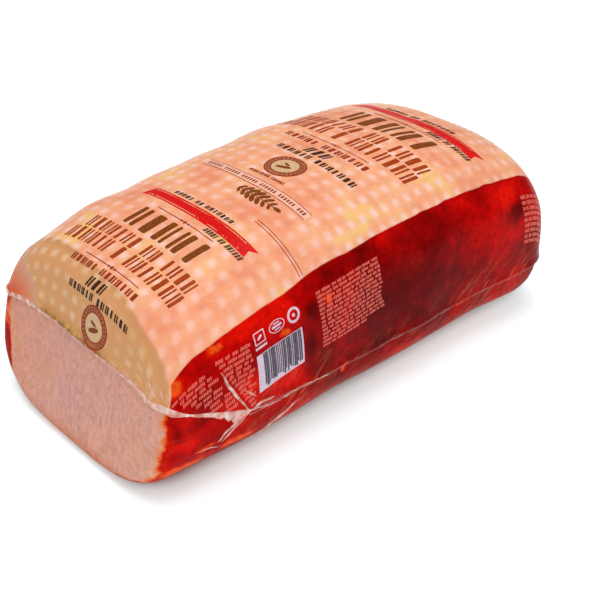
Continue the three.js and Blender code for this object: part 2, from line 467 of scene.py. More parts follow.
def weld_turn(station):
    """Angle round the section at which the weld runs, 0 at the widest level."""
    fall = math.exp(-(station + HALF_LENGTH) / WELD_FALL_LENGTH)
    level = WELD_FAR_LEVEL + (WELD_NEAR_LEVEL - WELD_FAR_LEVEL) * fall
    level += WELD_LIFT * math.exp(-(((station - WELD_LIFT_AT) / WELD_LIFT_REACH) ** 2))
    above = level > WIDEST_LEVEL
    room = section_size(station)[0] - WIDEST_LEVEL if above else WIDEST_LEVEL + BASE_SINK
    fullness = UPPER_FULLNESS if above else LOWER_FULLNESS
    up = abs(level - WIDEST_LEVEL) / room
    out = (1 - up**fullness) ** (1 / fullness)
    return math.copysign(math.atan2(up, out), level - WIDEST_LEVEL)


def section_point(station, shrink, turn):
    """Point on the section at an angle, the section being shrunk round its widest level."""
    height, half_width = section_size(station)
    upper = math.sin(turn) > 0
    fullness = UPPER_FULLNESS if upper else LOWER_FULLNESS
    room = height - WIDEST_LEVEL if upper else WIDEST_LEVEL + BASE_SINK
    across = abs(math.cos(turn)) ** fullness + abs(math.sin(turn)) ** fullness
    radius = shrink * across ** (-1 / fullness)
    level = max(WIDEST_LEVEL + room * radius * math.sin(turn), 0.0)
    return station + lean_back(station, level), half_width * radius * math.cos(turn), level


def face_point(across, level):
    """Point on the cut end, which leans back with its level."""
    return lean_back(-HALF_LENGTH, level) - HALF_LENGTH, across, level


def rows_along():
    """Stations and shrinks from the rim of the cut end to the tip of the rounded end."""
    rows = []
    for i in range(RIM_ROWS):
        turn = QUARTER_TURN * i / RIM_ROWS
        station = -HALF_LENGTH + RIM_RADIUS * (1 - math.cos(turn))
        rows.append((station, 1 - RIM_INSET * (1 - math.sin(turn))))
    body_length = LENGTH - RIM_RADIUS - NOSE_LENGTH
    for i in range(BODY_ROWS):
        rows.append((-HALF_LENGTH + RIM_RADIUS + body_length * i / BODY_ROWS, 1.0))
    for i in range(NOSE_ROWS + 1):
        turn = QUARTER_TURN * i / NOSE_ROWS
        station = HALF_LENGTH - NOSE_LENGTH * (1 - math.sin(turn) ** (2 / NOSE_FULLNESS))
        rows.append((station, max(math.cos(turn), 0.0) ** (2 / NOSE_FULLNESS)))
    return rows


def film_form(upper, columns):
    """Plain form of one film as rows of points, from the weld on the cut end to the tip."""
    rows = []
    for station, shrink in rows_along():
        weld = weld_turn(station)
        last = weld if upper else FULL_TURN + weld
        turns = np.linspace(HALF_TURN - weld, last, columns + 1)
        rows.append([section_point(station, shrink, turn) for turn in turns])
    rim = rows[0]
    weld_level = rim[0][2]
    face = []
    for i in range(FACE_ROWS):
        share = i / FACE_ROWS
        narrowing = FACE_WELD_SHARE + (1 - FACE_WELD_SHARE) * share
        row = []
        for _, y, z in rim:
            arch = WELD_ARCH * (1 - smooth(abs(y), WELD_ARCH_FROM, WELD_ARCH_TO))
            level = (weld_level + arch) * (1 - share) + z * share
            row.append(face_point(y * narrowing, level))
        face.append(row)
    return np.array(face + rows)


# Relief on the plain form


def swell_rise(points):
    """Slow swells of the meat, dying out towards its axis."""
    height_over_axis = points[..., 2] - WIDEST_LEVEL
    round_axis = np.arctan2(height_over_axis, points[..., 1])
    fade = smooth(np.hypot(height_over_axis, points[..., 1]), 0, SWELL_FREE_RADIUS)
    rise = 0.0
    for along, waves, phase, height in SWELLS:
        wave = np.sin(FULL_TURN * points[..., 0] / along + phase)
        rise = rise + fade * height * wave * np.sin(waves * round_axis + phase)
    return rise


def dent_fall(points):
    """Depth of the small dents, which are never bumps."""
    fall = np.zeros(points.shape[:-1])
    flat = points.reshape(-1, 3)
    for size, depth, seed in DENTS:
        offset = Vector((seed, seed, seed))
        values = [noise.noise(Vector(point) / size + offset) for point in flat]
        fall += depth * (0.5 + 0.5 * np.array(values).reshape(fall.shape))
    return fall


def fold_rise(points, fold):
    """Rise of one slack fold: full on its line, dying out beside it."""
    start, end = np.array(fold.start, float), np.array(fold.end, float)
    line = end - start
    share = np.clip((points - start) @ line / (line @ line), 0, 1)
    distance = np.linalg.norm(points - (start + share[..., None] * line), axis=-1)
    return fold.rise * np.exp(-((distance / fold.reach) ** 2))


def floor_free(points):
    """1 on the sides and top, fading to 0 where the loin rests."""
    return smooth(points[..., 2], 0, RELIEF_FREE_LEVEL)


def weld_rise(points, from_weld):
    """Ridge along the weld with the short puckers that cross it."""
    ridge = WELD_RISE * np.exp(-((from_weld / WELD_REACH) ** 2))
    run = points[..., 0] + points[..., 1]
    pucker = 0.5 + 0.5 * np.sin(FULL_TURN * run / PUCKER_SPACING + 2 * np.sin(run / 17))
    return ridge + PUCKER_RISE * pucker * np.exp(-((from_weld / PUCKER_REACH) ** 2))


def outward(points):
    """Unit directions square to a sheet of points, pointing away from the loin's axis."""
    square = np.cross(np.gradient(points, axis=0), np.gradient(points, axis=1))
    square[-1] = (1, 0, 0)
    inward = (square * (points - np.array([0, 0, WIDEST_LEVEL]))).sum(axis=-1) < 0
    if inward.mean() > 0.5:
        square = -square
        square[-1] = (1, 0, 0)
    return square / np.maximum(np.linalg.norm(square, axis=-1, keepdims=True), 1e-9)


def film_sheet(upper, columns):
    """One film with its relief, and its print coordinates measured on the plain form."""
    plain = film_form(upper, columns)
    middle = columns // 2
    steps_along = np.linalg.norm(np.diff(plain, axis=0), axis=2)
    steps_across = np.linalg.norm(np.diff(plain, axis=1), axis=2)
    down_columns = np.vstack([np.zeros(columns + 1), np.cumsum(steps_along, axis=0)])
    across = np.hstack([np.zeros((len(plain), 1)), np.cumsum(steps_across, axis=1)])
    from_weld = np.minimum(np.minimum(across, across[:, -1:] - across), down_columns)
    across = across - across[:, middle : middle + 1]
    along = down_columns[:, middle]
    stations = [station for station, _ in rows_along()]
    crown_row = np.interp(0.0, stations, np.arange(len(stations))) + FACE_ROWS
    along = along - np.interp(crown_row, np.arange(len(along)), along)
    normals = outward(plain)
    folds = np.max([fold_rise(plain, fold) for fold in SLACK_FOLDS], axis=0)
    rise = np.maximum(weld_rise(plain, from_weld), folds) + swell_rise(plain) - dent_fall(plain)
    points = plain + normals * (rise * floor_free(plain))[..., None] + FORM_SHIFT
    return Sheet(points, outward(points), along, across, from_weld)


# Meshes


def dress(bm, name, material):
    """Turns a finished bmesh in millimetres into a piece that stands for the loin's solid."""
    bmesh.ops.scale(bm, vec=(MM, MM, MM), verts=bm.verts)
    for face in bm.faces:
        face.smooth = True
    mesh = bpy.data.meshes.new(name)
    bm.to_mesh(mesh)
    bm.free()
    mesh.materials.append(material)
    piece = bpy.data.objects.new(name, mesh)
    bpy.context.collection.objects.link(piece)
    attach(piece, "root")
    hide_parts(LOIN_NODE)
    return piece


def give_film_thickness(piece):
    """Thickens a film inwards."""
    wall = piece.modifiers.new("film_gauge", "SOLIDIFY")
    wall.thickness = FILM_THICKNESS * MM
    wall.offset = -1


def film_mesh(sheet, upper, marks):
    """A grid laid onto the film's points, with its print map and its named measures."""
    rows, columns = sheet.points.shape[0] - 1, sheet.points.shape[1] - 1
    bm = bmesh.new()
    bmesh.ops.create_grid(bm, x_segments=rows, y_segments=columns, size=0.5)
    layers = {name: bm.verts.layers.float.new(name) for name in marks}
    places = {}
    tip = []
    for vert in bm.verts:
        i, j = round((vert.co.x + 0.5) * rows), round((vert.co.y + 0.5) * columns)
        places[vert] = (i, j)
        vert.co = sheet.points[i, j]
        for name, layer in layers.items():
            vert[layer] = marks[name][i, j]
        if i == rows:
            tip.append(vert)
    chart = bm.loops.layers.uv.new(PRINT_MAP)
    for face in bm.faces:
        for loop in face.loops:
            i, j = places[loop.vert]
            loop[chart].uv = (sheet.along[i], sheet.across[i, j])
    bmesh.ops.remove_doubles(bm, verts=tip, dist=0.001)
    if not upper:
        bmesh.ops.reverse_faces(bm, faces=bm.faces)
    return bm


def share_of_places(points, places):
    """How strongly each point lies in any of some soft oval places."""
    strength = np.zeros(points.shape[:-1])
    for place in places:
        offset = (points - np.array(place.middle, float)) / np.array(place.reach, float)
        strength = np.maximum(strength, place.strength * np.exp(-(offset**2).sum(axis=-1)))
    return strength


def pork_body(material):
    """The loin itself: one closed body just under the films, cut flat at one end."""
    rows = rows_along()
    turns = [FULL_TURN * j / MEAT_COLUMNS for j in range(MEAT_COLUMNS)]
    rings = [[section_point(station, shrink, turn) for turn in turns] for station, shrink in rows]
    face = []
    for i in range(MEAT_FACE_ROWS):
        share = i / MEAT_FACE_ROWS
        face.append(
            [
                face_point(y * share, FACE_MIDDLE_LEVEL + (z - FACE_MIDDLE_LEVEL) * share)
                for _, y, z in rings[0]
            ]
        )
    form = np.array(face + rings)
    levels = len(form) - 1
    steps = np.linalg.norm(np.diff(form, axis=0), axis=2)
    down = np.vstack([np.zeros(MEAT_COLUMNS), np.cumsum(steps, axis=0)])
    past_cut_edge = down - down[MEAT_FACE_ROWS + CUT_EDGE_ROW]
    far_soak = FAR_SOAK * smooth(form[..., 1], FAR_SOAK_FROM, FAR_SOAK_TO)
    far_soak *= 1 - FAR_SOAK_LOST * smooth(form[..., 2], *FAR_SOAK_LEVELS)
    low_soak = LOW_SOAK * (1 - smooth(form[..., 2], 0, LOW_SOAK_LEVEL))
    low_soak *= smooth(form[..., 1], *LOW_SOAK_SIDES)
    near_flesh = NEAR_FLESH * (1 - smooth(form[..., 1], *NEAR_FLESH_SIDES))
    near_flesh *= 1 - smooth(form[..., 2], *NEAR_FLESH_LEVELS)
    measures = {
        "past_cut_edge": past_cut_edge + far_soak + low_soak - near_flesh,
        "thin": share_of_places(form, THIN_MARINADE),
        "bright": share_of_places(form, BRIGHT_MARINADE),
        "pooled_and_painted_shade": share_of_places(form, POOLED_MARINADE_AND_PAINTED_SHADE),
    }
    bm = bmesh.new()
    bmesh.ops.create_uvsphere(bm, u_segments=MEAT_COLUMNS, v_segments=levels, radius=1)
    layers = {name: bm.verts.layers.float.new(name) for name in measures}
    for vert in bm.verts:
        level = round(math.acos(max(-1.0, min(1.0, vert.co.z))) / HALF_TURN * levels)
        column = round(math.atan2(vert.co.y, vert.co.x) / FULL_TURN * MEAT_COLUMNS) % MEAT_COLUMNS
        vert.co = form[level, column]
        for name, layer in layers.items():
            vert[layer] = measures[name][level, column]
    bmesh.ops.recalc_face_normals(bm, faces=bm.faces)
    bm.normal_update()
    plain = np.array([vert.co for vert in bm.verts])
    rise = (swell_rise(plain) - dent_fall(plain)) * floor_free(plain) - MEAT_UNDER_FILM
    for vert, height in zip(bm.verts, rise):
        vert.co += vert.normal * height + Vector(FORM_SHIFT)
    return dress(bm, "roast_loin", material)


def on_film(sheet, along, across):
    """Points and outward directions on a film for arrays of print coordinates."""
    row = np.clip(np.searchsorted(sheet.along, along) - 1, 0, len(sheet.along) - 2)
    share = (along - sheet.along[row]) / (sheet.along[row + 1] - sheet.along[row])
    count = np.arange(len(along))
    found = []
    for side in (row, row + 1):
        line = sheet.across[side]
        column = np.clip((line < across[:, None]).sum(axis=1) - 1, 0, line.shape[1] - 2)
        low, high = line[count, column], line[count, column + 1]
        part = np.clip((across - low) / np.maximum(high - low, 1e-9), 0, 1)[:, None]
        point = sheet.points[side, column] * (1 - part) + sheet.points[side, column + 1] * part
        square = sheet.normals[side, column] * (1 - part) + sheet.normals[side, column + 1] * part
        found.append((point, square))
    share = share[:, None]
    points = found[0][0] * (1 - share) + found[1][0] * share
    squares = found[0][1] * (1 - share) + found[1][1] * share
    return points, squares / np.linalg.norm(squares, axis=1, keepdims=True)


def print_flat_art(bm, sheet, name, material, layer=1):
    """Gives flat art, drawn in print coordinates, the thickness of ink and lays it on the film."""
    grown = bmesh.ops.extrude_face_region(bm, geom=bm.faces[:], use_keep_orig=True)
    tops = [item for item in grown["geom"] if isinstance(item, bmesh.types.BMVert)]
    bmesh.ops.translate(bm, vec=(0, 0, 1), verts=tops)
    bmesh.ops.recalc_face_normals(bm, faces=bm.faces)
    flat = np.array([vert.co for vert in bm.verts])
    for axis in (0, 1):
        first = math.ceil(flat[:, axis].min() / LATTICE)
        last = math.floor(flat[:, axis].max() / LATTICE)
        for step in range(first, last + 1):
            place, square = [0, 0, 0], [0, 0, 0]
            place[axis], square[axis] = step * LATTICE, 1
            bmesh.ops.bisect_plane(
                bm, geom=bm.verts[:] + bm.edges[:] + bm.faces[:], plane_co=place, plane_no=square
            )
    flat = np.array([vert.co for vert in bm.verts])
    points, squares = on_film(sheet, flat[:, 0], flat[:, 1])
    lift = np.where(flat[:, 2] > 0.5, INK_LIFT * layer, -INK_SINK)
    for vert, point in zip(bm.verts, points + squares * lift[:, None]):
        vert.co = point
    bm.normal_update()
    for edge in bm.edges:
        edge.smooth = edge.calc_face_angle(0.0) < INK_EDGE_ANGLE
    return dress(bm, name, material)


# Flat art of the print, in print coordinates: along the loin, and across it


def draw_patch(bm, along, across, height, width, lean=0.0, corner=0.0):
    """A four-sided patch round a middle: height runs along the loin and width across it."""
    corners = []
    for u, v in ((-0.5, -0.5), (0.5, -0.5), (0.5, 0.5), (-0.5, 0.5)):
        corners.append(bm.verts.new((along + u * height, across + v * width - u * height * lean, 0)))
    face = bm.faces.new(corners)
    if corner:
        bmesh.ops.bevel(
            bm, geom=corners, offset=corner, affect="VERTICES", segments=2, profile=0.5, material=-1
        )
    return face


def draw_disc(bm, along, across, height, width, turn=0.0, sides=24):
    """A round or oval patch."""
    place = Matrix.Translation((along, across, 0)) @ Matrix.Rotation(turn, 4, "Z")
    stretch = Matrix.Diagonal((height / 2, width / 2, 1, 1))
    bmesh.ops.create_circle(bm, cap_ends=True, segments=sides, radius=1, matrix=place @ stretch)


def draw_band(bm, along, across, outer, inner, stretch=1.0, sides=48):
    """A ring, drawn as two circles bridged by a band, and stretched across the loin."""
    edges = []
    for radius in (outer, inner):
        matrix = Matrix.Translation((along, across, 0)) @ Matrix.Diagonal((1, stretch, 1, 1))
        circle = bmesh.ops.create_circle(bm, segments=sides, radius=radius, matrix=matrix)
        edges += list({edge for vert in circle["verts"] for edge in vert.link_edges})
    made = bmesh.ops.bridge_loops(bm, edges=edges)
    upside_down = [face for face in made["faces"] if face.normal.z < 0]
    bmesh.ops.reverse_faces(bm, faces=upside_down)


def draw_plain_type(bm, line, place, stretch_along, stretch_across):
    """A line of plain upright marks where the label has words: no mark is a letter."""
    pitches = sum(line.words) + WORD_GAP * (len(line.words) - 1)
    middle = place + line.along * stretch_along
    height = line.height * stretch_along
    span = (line.start - line.end) * stretch_across
    pitch = span / pitches
    across = LABEL_MIDDLE + (line.start - LABEL_MIDDLE) * stretch_across
    shape = 0
    for blocks in line.words:
        for _ in range(blocks):
            for offset, width in MARK_SHAPES[shape % len(MARK_SHAPES)]:
                draw_patch(
                    bm, middle, across - pitch * offset, height, pitch * width,
                    line.lean, min(height, pitch) * MARK_CORNER,
                )
            across -= pitch
            shape += 1
        across -= pitch * WORD_GAP


def label_line(bm, line, label):
    """One line of a label, stretched as that label is."""
    draw_plain_type(bm, line, label.rule, label.stretch_along, label.stretch_across)


def across_label(label, across):
    """A place across the loin, stretched away from the label's middle line."""
    return LABEL_MIDDLE + (across - LABEL_MIDDLE) * label.stretch_across


def draw_dotted_rule(bm, label, offset, start, end):
    """A thin rule across the label with a diamond and two dots at its middle."""
    along = label.rule + offset * label.stretch_along
    start, end = across_label(label, start), across_label(label, end)
    draw_patch(bm, along, (start + end) / 2, RULE_WIDTH, start - end)
    middle = (start + end) / 2
    draw_disc(bm, along, middle, RULE_DIAMOND, RULE_DIAMOND, sides=4)
    for side in (-1, 1):
        draw_disc(bm, along, middle + side * RULE_DOT_GAP, RULE_DOT, RULE_DOT, sides=10)


def draw_sprig(bm, label):
    """A sprig of leaves in place of the label's picture."""
    along = label.rule + SPRIG_OFFSET * label.stretch_along
    start, end = across_label(label, SPRIG_START), across_label(label, SPRIG_END)
    length = start - end
    draw_patch(bm, along, (start + end) / 2, SPRIG_STEM, length)
    for i in range(SPRIG_LEAVES):
        share = (i + 0.5) / SPRIG_LEAVES
        size = SPRIG_LEAF * (0.7 + 0.6 * math.sin(HALF_TURN * share))
        for side in (-1, 1):
            draw_disc(
                bm, along + side * size * 0.42, start - length * share, size, size * 0.42,
                turn=-side * SPRIG_LEAF_TURN, sides=12,
            )
    draw_disc(bm, along, end - SPRIG_LEAF / 2, SPRIG_LEAF * 0.5, SPRIG_LEAF, sides=12)


def ring_badge_middle(label):
    """Where a label's ring badge is centred, and how it is stretched."""
    along = label.rule + BADGE_OFFSET * label.stretch_along
    return along, label.badge_across, label.stretch_across


def draw_badge_rims(bm, label):
    """The two thin rims of the ring badge."""
    along, across, stretch = ring_badge_middle(label)
    draw_band(bm, along, across, BADGE_RADIUS, BADGE_RADIUS - BADGE_RIM, stretch)
    inner = BADGE_RADIUS - BADGE_BAND
    draw_band(bm, along, across, inner + BADGE_RIM, inner, stretch)


def draw_badge_marks(bm, label):
    """Small marks all round the badge's band, and a plain bar and leaf in its middle."""
    along, across, stretch = ring_badge_middle(label)
    radius = BADGE_RADIUS - BADGE_BAND / 2
    for i in range(BADGE_MARKS):
        turn = FULL_TURN * i / BADGE_MARKS
        if math.cos(turn - BADGE_GAP_TURN) > BADGE_GAP:
            continue
        draw_disc(
            bm, along + radius * math.cos(turn), across + radius * stretch * math.sin(turn),
            BADGE_MARK * 1.4, BADGE_MARK * 0.8, turn=turn, sides=6,
        )
    draw_disc(bm, along - 1.5, across, BADGE_LEAF * 0.32, BADGE_LEAF * stretch, turn=0.35, sides=12)
    draw_disc(bm, along + 2.0, across + 0.6, BADGE_LEAF * 0.2, BADGE_LEAF * 0.6, turn=-0.3, sides=10)


def draw_strip(bm, label, with_marks):
    """The pale strip across the label: its field, or the rules and marks printed on it."""
    along = label.rule + STRIP_OFFSET * label.stretch_along
    start, end = across_label(label, STRIP_START), across_label(label, STRIP_END)
    width = STRIP_WIDTH * label.stretch_along
    if not with_marks:
        draw_patch(bm, along, (start + end) / 2, width, start - end)
        return
    for side in (-1, 1):
        draw_patch(bm, along + side * width / 2, (start + end) / 2, STRIP_RULE, start - end)
    marks = int((start - end) / STRIP_MARK_PITCH)
    for i in range(1, marks):
        if i % 7 == 0:
            continue
        draw_patch(
            bm, along, start - i * STRIP_MARK_PITCH, width * 0.42, STRIP_MARK_PITCH * 0.5
        )


def draw_ribbon(bm, label):
    """A plain red ribbon where the label has its largest name."""
    along = label.rule + RIBBON_OFFSET * label.stretch_along
    start, end = across_label(label, RIBBON_START), across_label(label, RIBBON_END)
    height = RIBBON_HEIGHT * label.stretch_along
    corners = (
        (-0.5, start - 1.0), (0.5, start - 5.0), (0.5, end - 3.0), (0.08, end + 1.5), (-0.5, end),
    )
    verts = [bm.verts.new((along + share * height, across, 0)) for share, across in corners]
    face = bm.faces.new(reversed(verts))
    face.normal_update()


def draw_ribbon_lines(bm, label):
    """Two thin pale lines along the ribbon's edges, a little above its red."""
    along = label.rule + RIBBON_OFFSET * label.stretch_along
    start, end = across_label(label, RIBBON_START), across_label(label, RIBBON_END)
    height = RIBBON_HEIGHT * label.stretch_along
    for side in (-1, 1):
        draw_patch(
            bm, along + side * height * RIBBON_LINE_PLACE, (start + end) / 2, RIBBON_LINE,
            start - end - RIBBON_LINE_INSET,
        )


def draw_small_word(bm, place, length, height, chance):
    """A word of very small type: a row of thin plain uprights, some of them taller."""
    strokes = max(round(length / STROKE_PITCH), 1)
    for i in range(strokes):
        tall = STROKE_TALL if chance.random() < STROKE_TALL_SHARE else 1.0
        step = Matrix.Translation(((i + 0.5) * STROKE_PITCH - length / 2, 0, 0))
        size = Matrix.Diagonal((STROKE_WIDTH, height * tall, 1, 1))
        bmesh.ops.create_grid(bm, x_segments=1, y_segments=1, size=0.5, matrix=place @ step @ size)


def draw_small_type(bm, block, weld_line, chance):
    """Rows of very small plain marks, kept clear of the weld line."""
    turn = math.radians(block.turn)
    run = np.array([math.cos(turn), math.sin(turn)])
    for row in range(block.rows):
        here = np.array([block.along, block.across - block.toward * block.pitch * row])
        reach = 0.0
        limit = block.length * (1 if row < block.rows - 1 else 0.6) - chance.uniform(0, 2)
        while reach < limit:
            word = chance.uniform(*SMALL_WORD)
            word = min(word, block.length - reach)
            u, v = here + run * (reach + word / 2)
            room = abs(np.interp(u, weld_line[0], weld_line[1])) - abs(v)
            fall = (CREASE_TOP[1] - v) / (CREASE_TOP[1] - CREASE_FOOT[1])
            crease = CREASE_TOP[0] + (CREASE_FOOT[0] - CREASE_TOP[0]) * fall
            past_crease = (u - crease) * block.side - word / 2
            if block.side and past_crease < CREASE_CLEAR:
                reach += STROKE_PITCH
                continue
            if word > 1 and room > SMALL_TYPE_CLEAR:
                place = Matrix.Translation((u, v, 0)) @ Matrix.Rotation(turn, 4, "Z")
                draw_small_word(bm, place, word, block.pitch * SMALL_TYPE_HEIGHT, chance)
            reach += word + SMALL_WORD_GAP


def draw_code_panel(bm, panel, bars):
    """The pale field of the striped code, or its dark bars of uneven width and length."""
    if not bars:
        draw_patch(bm, panel.along, panel.across, panel.length, panel.depth)
        return
    chance = random.Random(PANEL_SEED)
    reach = PANEL_MARGIN
    pitch = (panel.length - PANEL_MARGIN - 1.0) / PANEL_BARS
    for _ in range(PANEL_BARS):
        width = min(chance.uniform(*PANEL_BAR_WIDTH), pitch * 0.85)
        short = chance.uniform(0.0, 3.0)
        along = panel.along - panel.length / 2 + reach + width / 2
        middle = panel.across + panel.toward * (short / 2 + 0.3)
        draw_patch(bm, along, middle, width, panel.depth - short - 1.2)
        reach += pitch


def draw_signs(bm, panel):
    """Three plain signs in a row over the code: a square, an oval and a round ring."""
    row = panel.across + panel.toward * SIGN_GAP
    square, oval, ring = (panel.along + place for place in SIGN_PLACES)
    for side in (-1, 1):
        draw_patch(bm, square + side * 2.9, row, SIGN_LINE, 6.2)
        draw_patch(bm, square, row + side * 2.9, 6.2, SIGN_LINE)
    draw_disc(bm, square, row, 3.4, 1.4, turn=0.6, sides=10)
    draw_patch(bm, square, row - panel.toward * 5.0, 6.8, 1.2)
    draw_band(bm, oval, row, 5.2, 5.2 - SIGN_LINE, 0.62)
    draw_patch(bm, oval, row, 6.4, 1.1)
    draw_patch(bm, oval, row + 1.6, 4.0, 0.6)
    draw_patch(bm, oval, row - 1.6, 4.0, 0.6)
    draw_band(bm, ring, row, 4.1, 4.1 - 1.3)
    draw_disc(bm, ring, row, 2.0, 2.0, sides=12)


# Weld ribbon and pleats of the films


def film_search(sheets):
    """All points of the films with their outward directions, to lay things on them."""
    points = np.concatenate([sheet.points.reshape(-1, 3) for sheet in sheets])
    normals = np.concatenate([sheet.normals.reshape(-1, 3) for sheet in sheets])
    tree = kdtree.KDTree(len(points))
    for index, point in enumerate(points):
        tree.insert(point, index)
    tree.balance()
    return tree, points, normals


def lay_on_film(search, point, height):
    """The place at a height over the film nearest to a point."""
    tree, points, normals = search
    index = tree.find(point)[1]
    square = normals[index]
    return point - square * ((point - points[index]) @ square) + square * height


def weld_path(lower):
    """Places along the weld from tip to tip round the cut end, each with the way down."""
    rows, columns = lower.points.shape[0] - 1, lower.points.shape[1] - 1
    near = [((i, 0), (i, WELD_LOOK)) for i in range(rows - 1, 0, -1)]
    face = []
    for j in range(columns + 1):
        inside = min(max(j, WELD_LOOK), columns - WELD_LOOK)
        face.append(((0, j), (WELD_LOOK, inside)))
    far = [((i, columns), (i, columns - WELD_LOOK)) for i in range(1, rows)]
    path = []
    for place, inside in near + face + far:
        down = lower.points[inside] - lower.points[place]
        path.append((lower.points[place], down / max(np.linalg.norm(down), 1e-9)))
    return path


def weld_ribbon_width(point):
    """Width of the weld ribbon at a place on the weld, and its milkiness, part of which is painted highlight.
    """
    x, y, _ = point
    on_face = x < -147 and abs(y) < 74
    if on_face:
        middle = 1 - smooth(abs(y + 5), 20, 52)
        return 3.2 - 1.3 * middle, 0.72 - 0.5 * middle
    ear = smooth(x, -138, -115) * (1 - smooth(x, -113, -103))
    tip = 1 - smooth(x, 150, 166)
    side = 1.0 if y < 0 else 0.7
    width = 1.5 + side * (2.2 * (1 - smooth(x, -150, -137)) + 4.8 * ear)
    milky_and_highlight = 0.07 + 0.13 * (1 - smooth(x, -90, -50)) + 0.6 * (1 - smooth(x, -108, -94))
    return max(width * tip, 0.4), milky_and_highlight


def welded_edge(lower, search, material):
    """The crinkled ribbon where the two films are welded, all round the loin."""
    path = weld_path(lower)
    count = len(path) - 1
    bm = bmesh.new()
    bmesh.ops.create_grid(bm, x_segments=count, y_segments=RIBBON_STEPS - 1, size=0.5)
    milk_and_highlight = bm.verts.layers.float.new("milky_and_highlight")
    for vert in bm.verts:
        i = round((vert.co.x + 0.5) * count)
        share = vert.co.y + 0.5
        place, down = path[i]
        width, milky_and_highlight = weld_ribbon_width(place)
        wobble = noise.noise(Vector(place) / 6.0) + noise.noise(Vector(place) / RIBBON_TOOTH)
        ragged = 1 + 0.45 * wobble * share
        spot = place + down * width * (share * ragged - RIBBON_ABOVE)
        crinkle = noise.noise(Vector(spot) / RIBBON_CRINKLE_SIZE + Vector((0, 0, 9)))
        height = RIBBON_LOW + (RIBBON_HIGH - RIBBON_LOW) * math.sin(HALF_TURN * share) * 0.6
        height += RIBBON_CRINKLE * crinkle * share
        vert.co = lay_on_film(search, spot, max(height, RIBBON_LOW))
        vert[milk_and_highlight] = milky_and_highlight * (0.75 + 0.5 * crinkle)
    piece = dress(bm, "welded_edge", material)
    wall = piece.modifiers.new("film_gauge", "SOLIDIFY")
    wall.thickness = RIBBON_THICKNESS * MM
    wall.offset = 0
    return piece


def film_pleats(search, material):
    """Sharp standing pleats where the film gathers at the corner and along the side."""
    bm = bmesh.new()
    milk_and_highlight = bm.verts.layers.float.new("milky_and_highlight")
    for number, pleat in enumerate(PLEATS):
        corners = np.array(pleat.line, float) + FORM_SHIFT
        runs = np.linalg.norm(np.diff(corners, axis=0), axis=1)
        reach = np.concatenate([[0], np.cumsum(runs)])
        steps = max(int(reach[-1] / PLEAT_STEP), 6)
        spots = [
            np.array([np.interp(reach[-1] * i / steps, reach, corners[:, axis]) for axis in range(3)])
            for i in range(steps + 1)
        ]
        grid = bmesh.ops.create_grid(
            bm, x_segments=steps, y_segments=len(PLEAT_PROFILE) - 1, size=0.5
        )
        for vert in grid["verts"]:
            i = round((vert.co.x + 0.5) * steps)
            aside, rise = PLEAT_PROFILE[round((vert.co.y + 0.5) * (len(PLEAT_PROFILE) - 1))]
            ahead = spots[min(i + 1, steps)] - spots[max(i - 1, 0)]
            square = search[2][search[0].find(spots[i])[1]]
            side = np.cross(square, ahead)
            side = side / np.linalg.norm(side)
            taper = math.sin(HALF_TURN * min(max(i / steps, 0.02), 0.98)) ** 0.5
            wander = 0.5 * noise.noise(Vector(spots[i]) / 7.0 + Vector((0, number, 0)))
            spot = spots[i] + side * (aside * pleat.width * taper + wander)
            vert.co = lay_on_film(search, spot, rise * pleat.rise * taper)
            # Milkiness, whiter on the crests, partly paints the pleats' highlights
            vert[milk_and_highlight] = 0.36 + 0.45 * noise.noise(Vector(spots[i]) / 4.0) + 0.22 * rise
    bmesh.ops.recalc_face_normals(bm, faces=bm.faces)
    piece = dress(bm, "film_pleats", material)
    wall = piece.modifiers.new("film_gauge", "SOLIDIFY")
    wall.thickness = RIBBON_THICKNESS * MM
    wall.offset = 0
    return piece


# Finishes


def colour(code):
    """Linear colour of an sRGB hex value."""
    shares = [int(code[i : i + 2], 16) / 255 for i in (1, 3, 5)]
    linear = [c / 12.92 if c <= 0.04045 else ((c + 0.055) / 1.055) ** 2.4 for c in shares]
    return (*linear, 1.0)


def add(tree, kind, inputs, stops=(), **settings):
    """Adds a shader node with its settings; an input gets a value, or a link from what feeds it."""
    node = tree.nodes.new("ShaderNode" + kind)
    for name, value in settings.items():
        setattr(node, name, value)
    for name, value in inputs.items():
        if isinstance(value, bpy.types.NodeSocket):
            tree.links.new(value, node.inputs[name])
        else:
            node.inputs[name].default_value = value
    if stops:
        ramp = node.color_ramp
        while len(ramp.elements) < len(stops):
            ramp.elements.new(1.0)
        for element, (position, code) in zip(ramp.elements, stops):
            element.position = position
            element.color = colour(code)
    return node


def new_finish(name):
    """A material with an empty node tree."""
    finish = bpy.data.materials.new(name)
    finish.use_nodes = True
    finish.node_tree.nodes.clear()
    return finish, finish.node_tree


def show(tree, shader):
    """Sends a shader to the surface."""
    add(tree, "OutputMaterial", {"Surface": shader.outputs["BSDF"]})


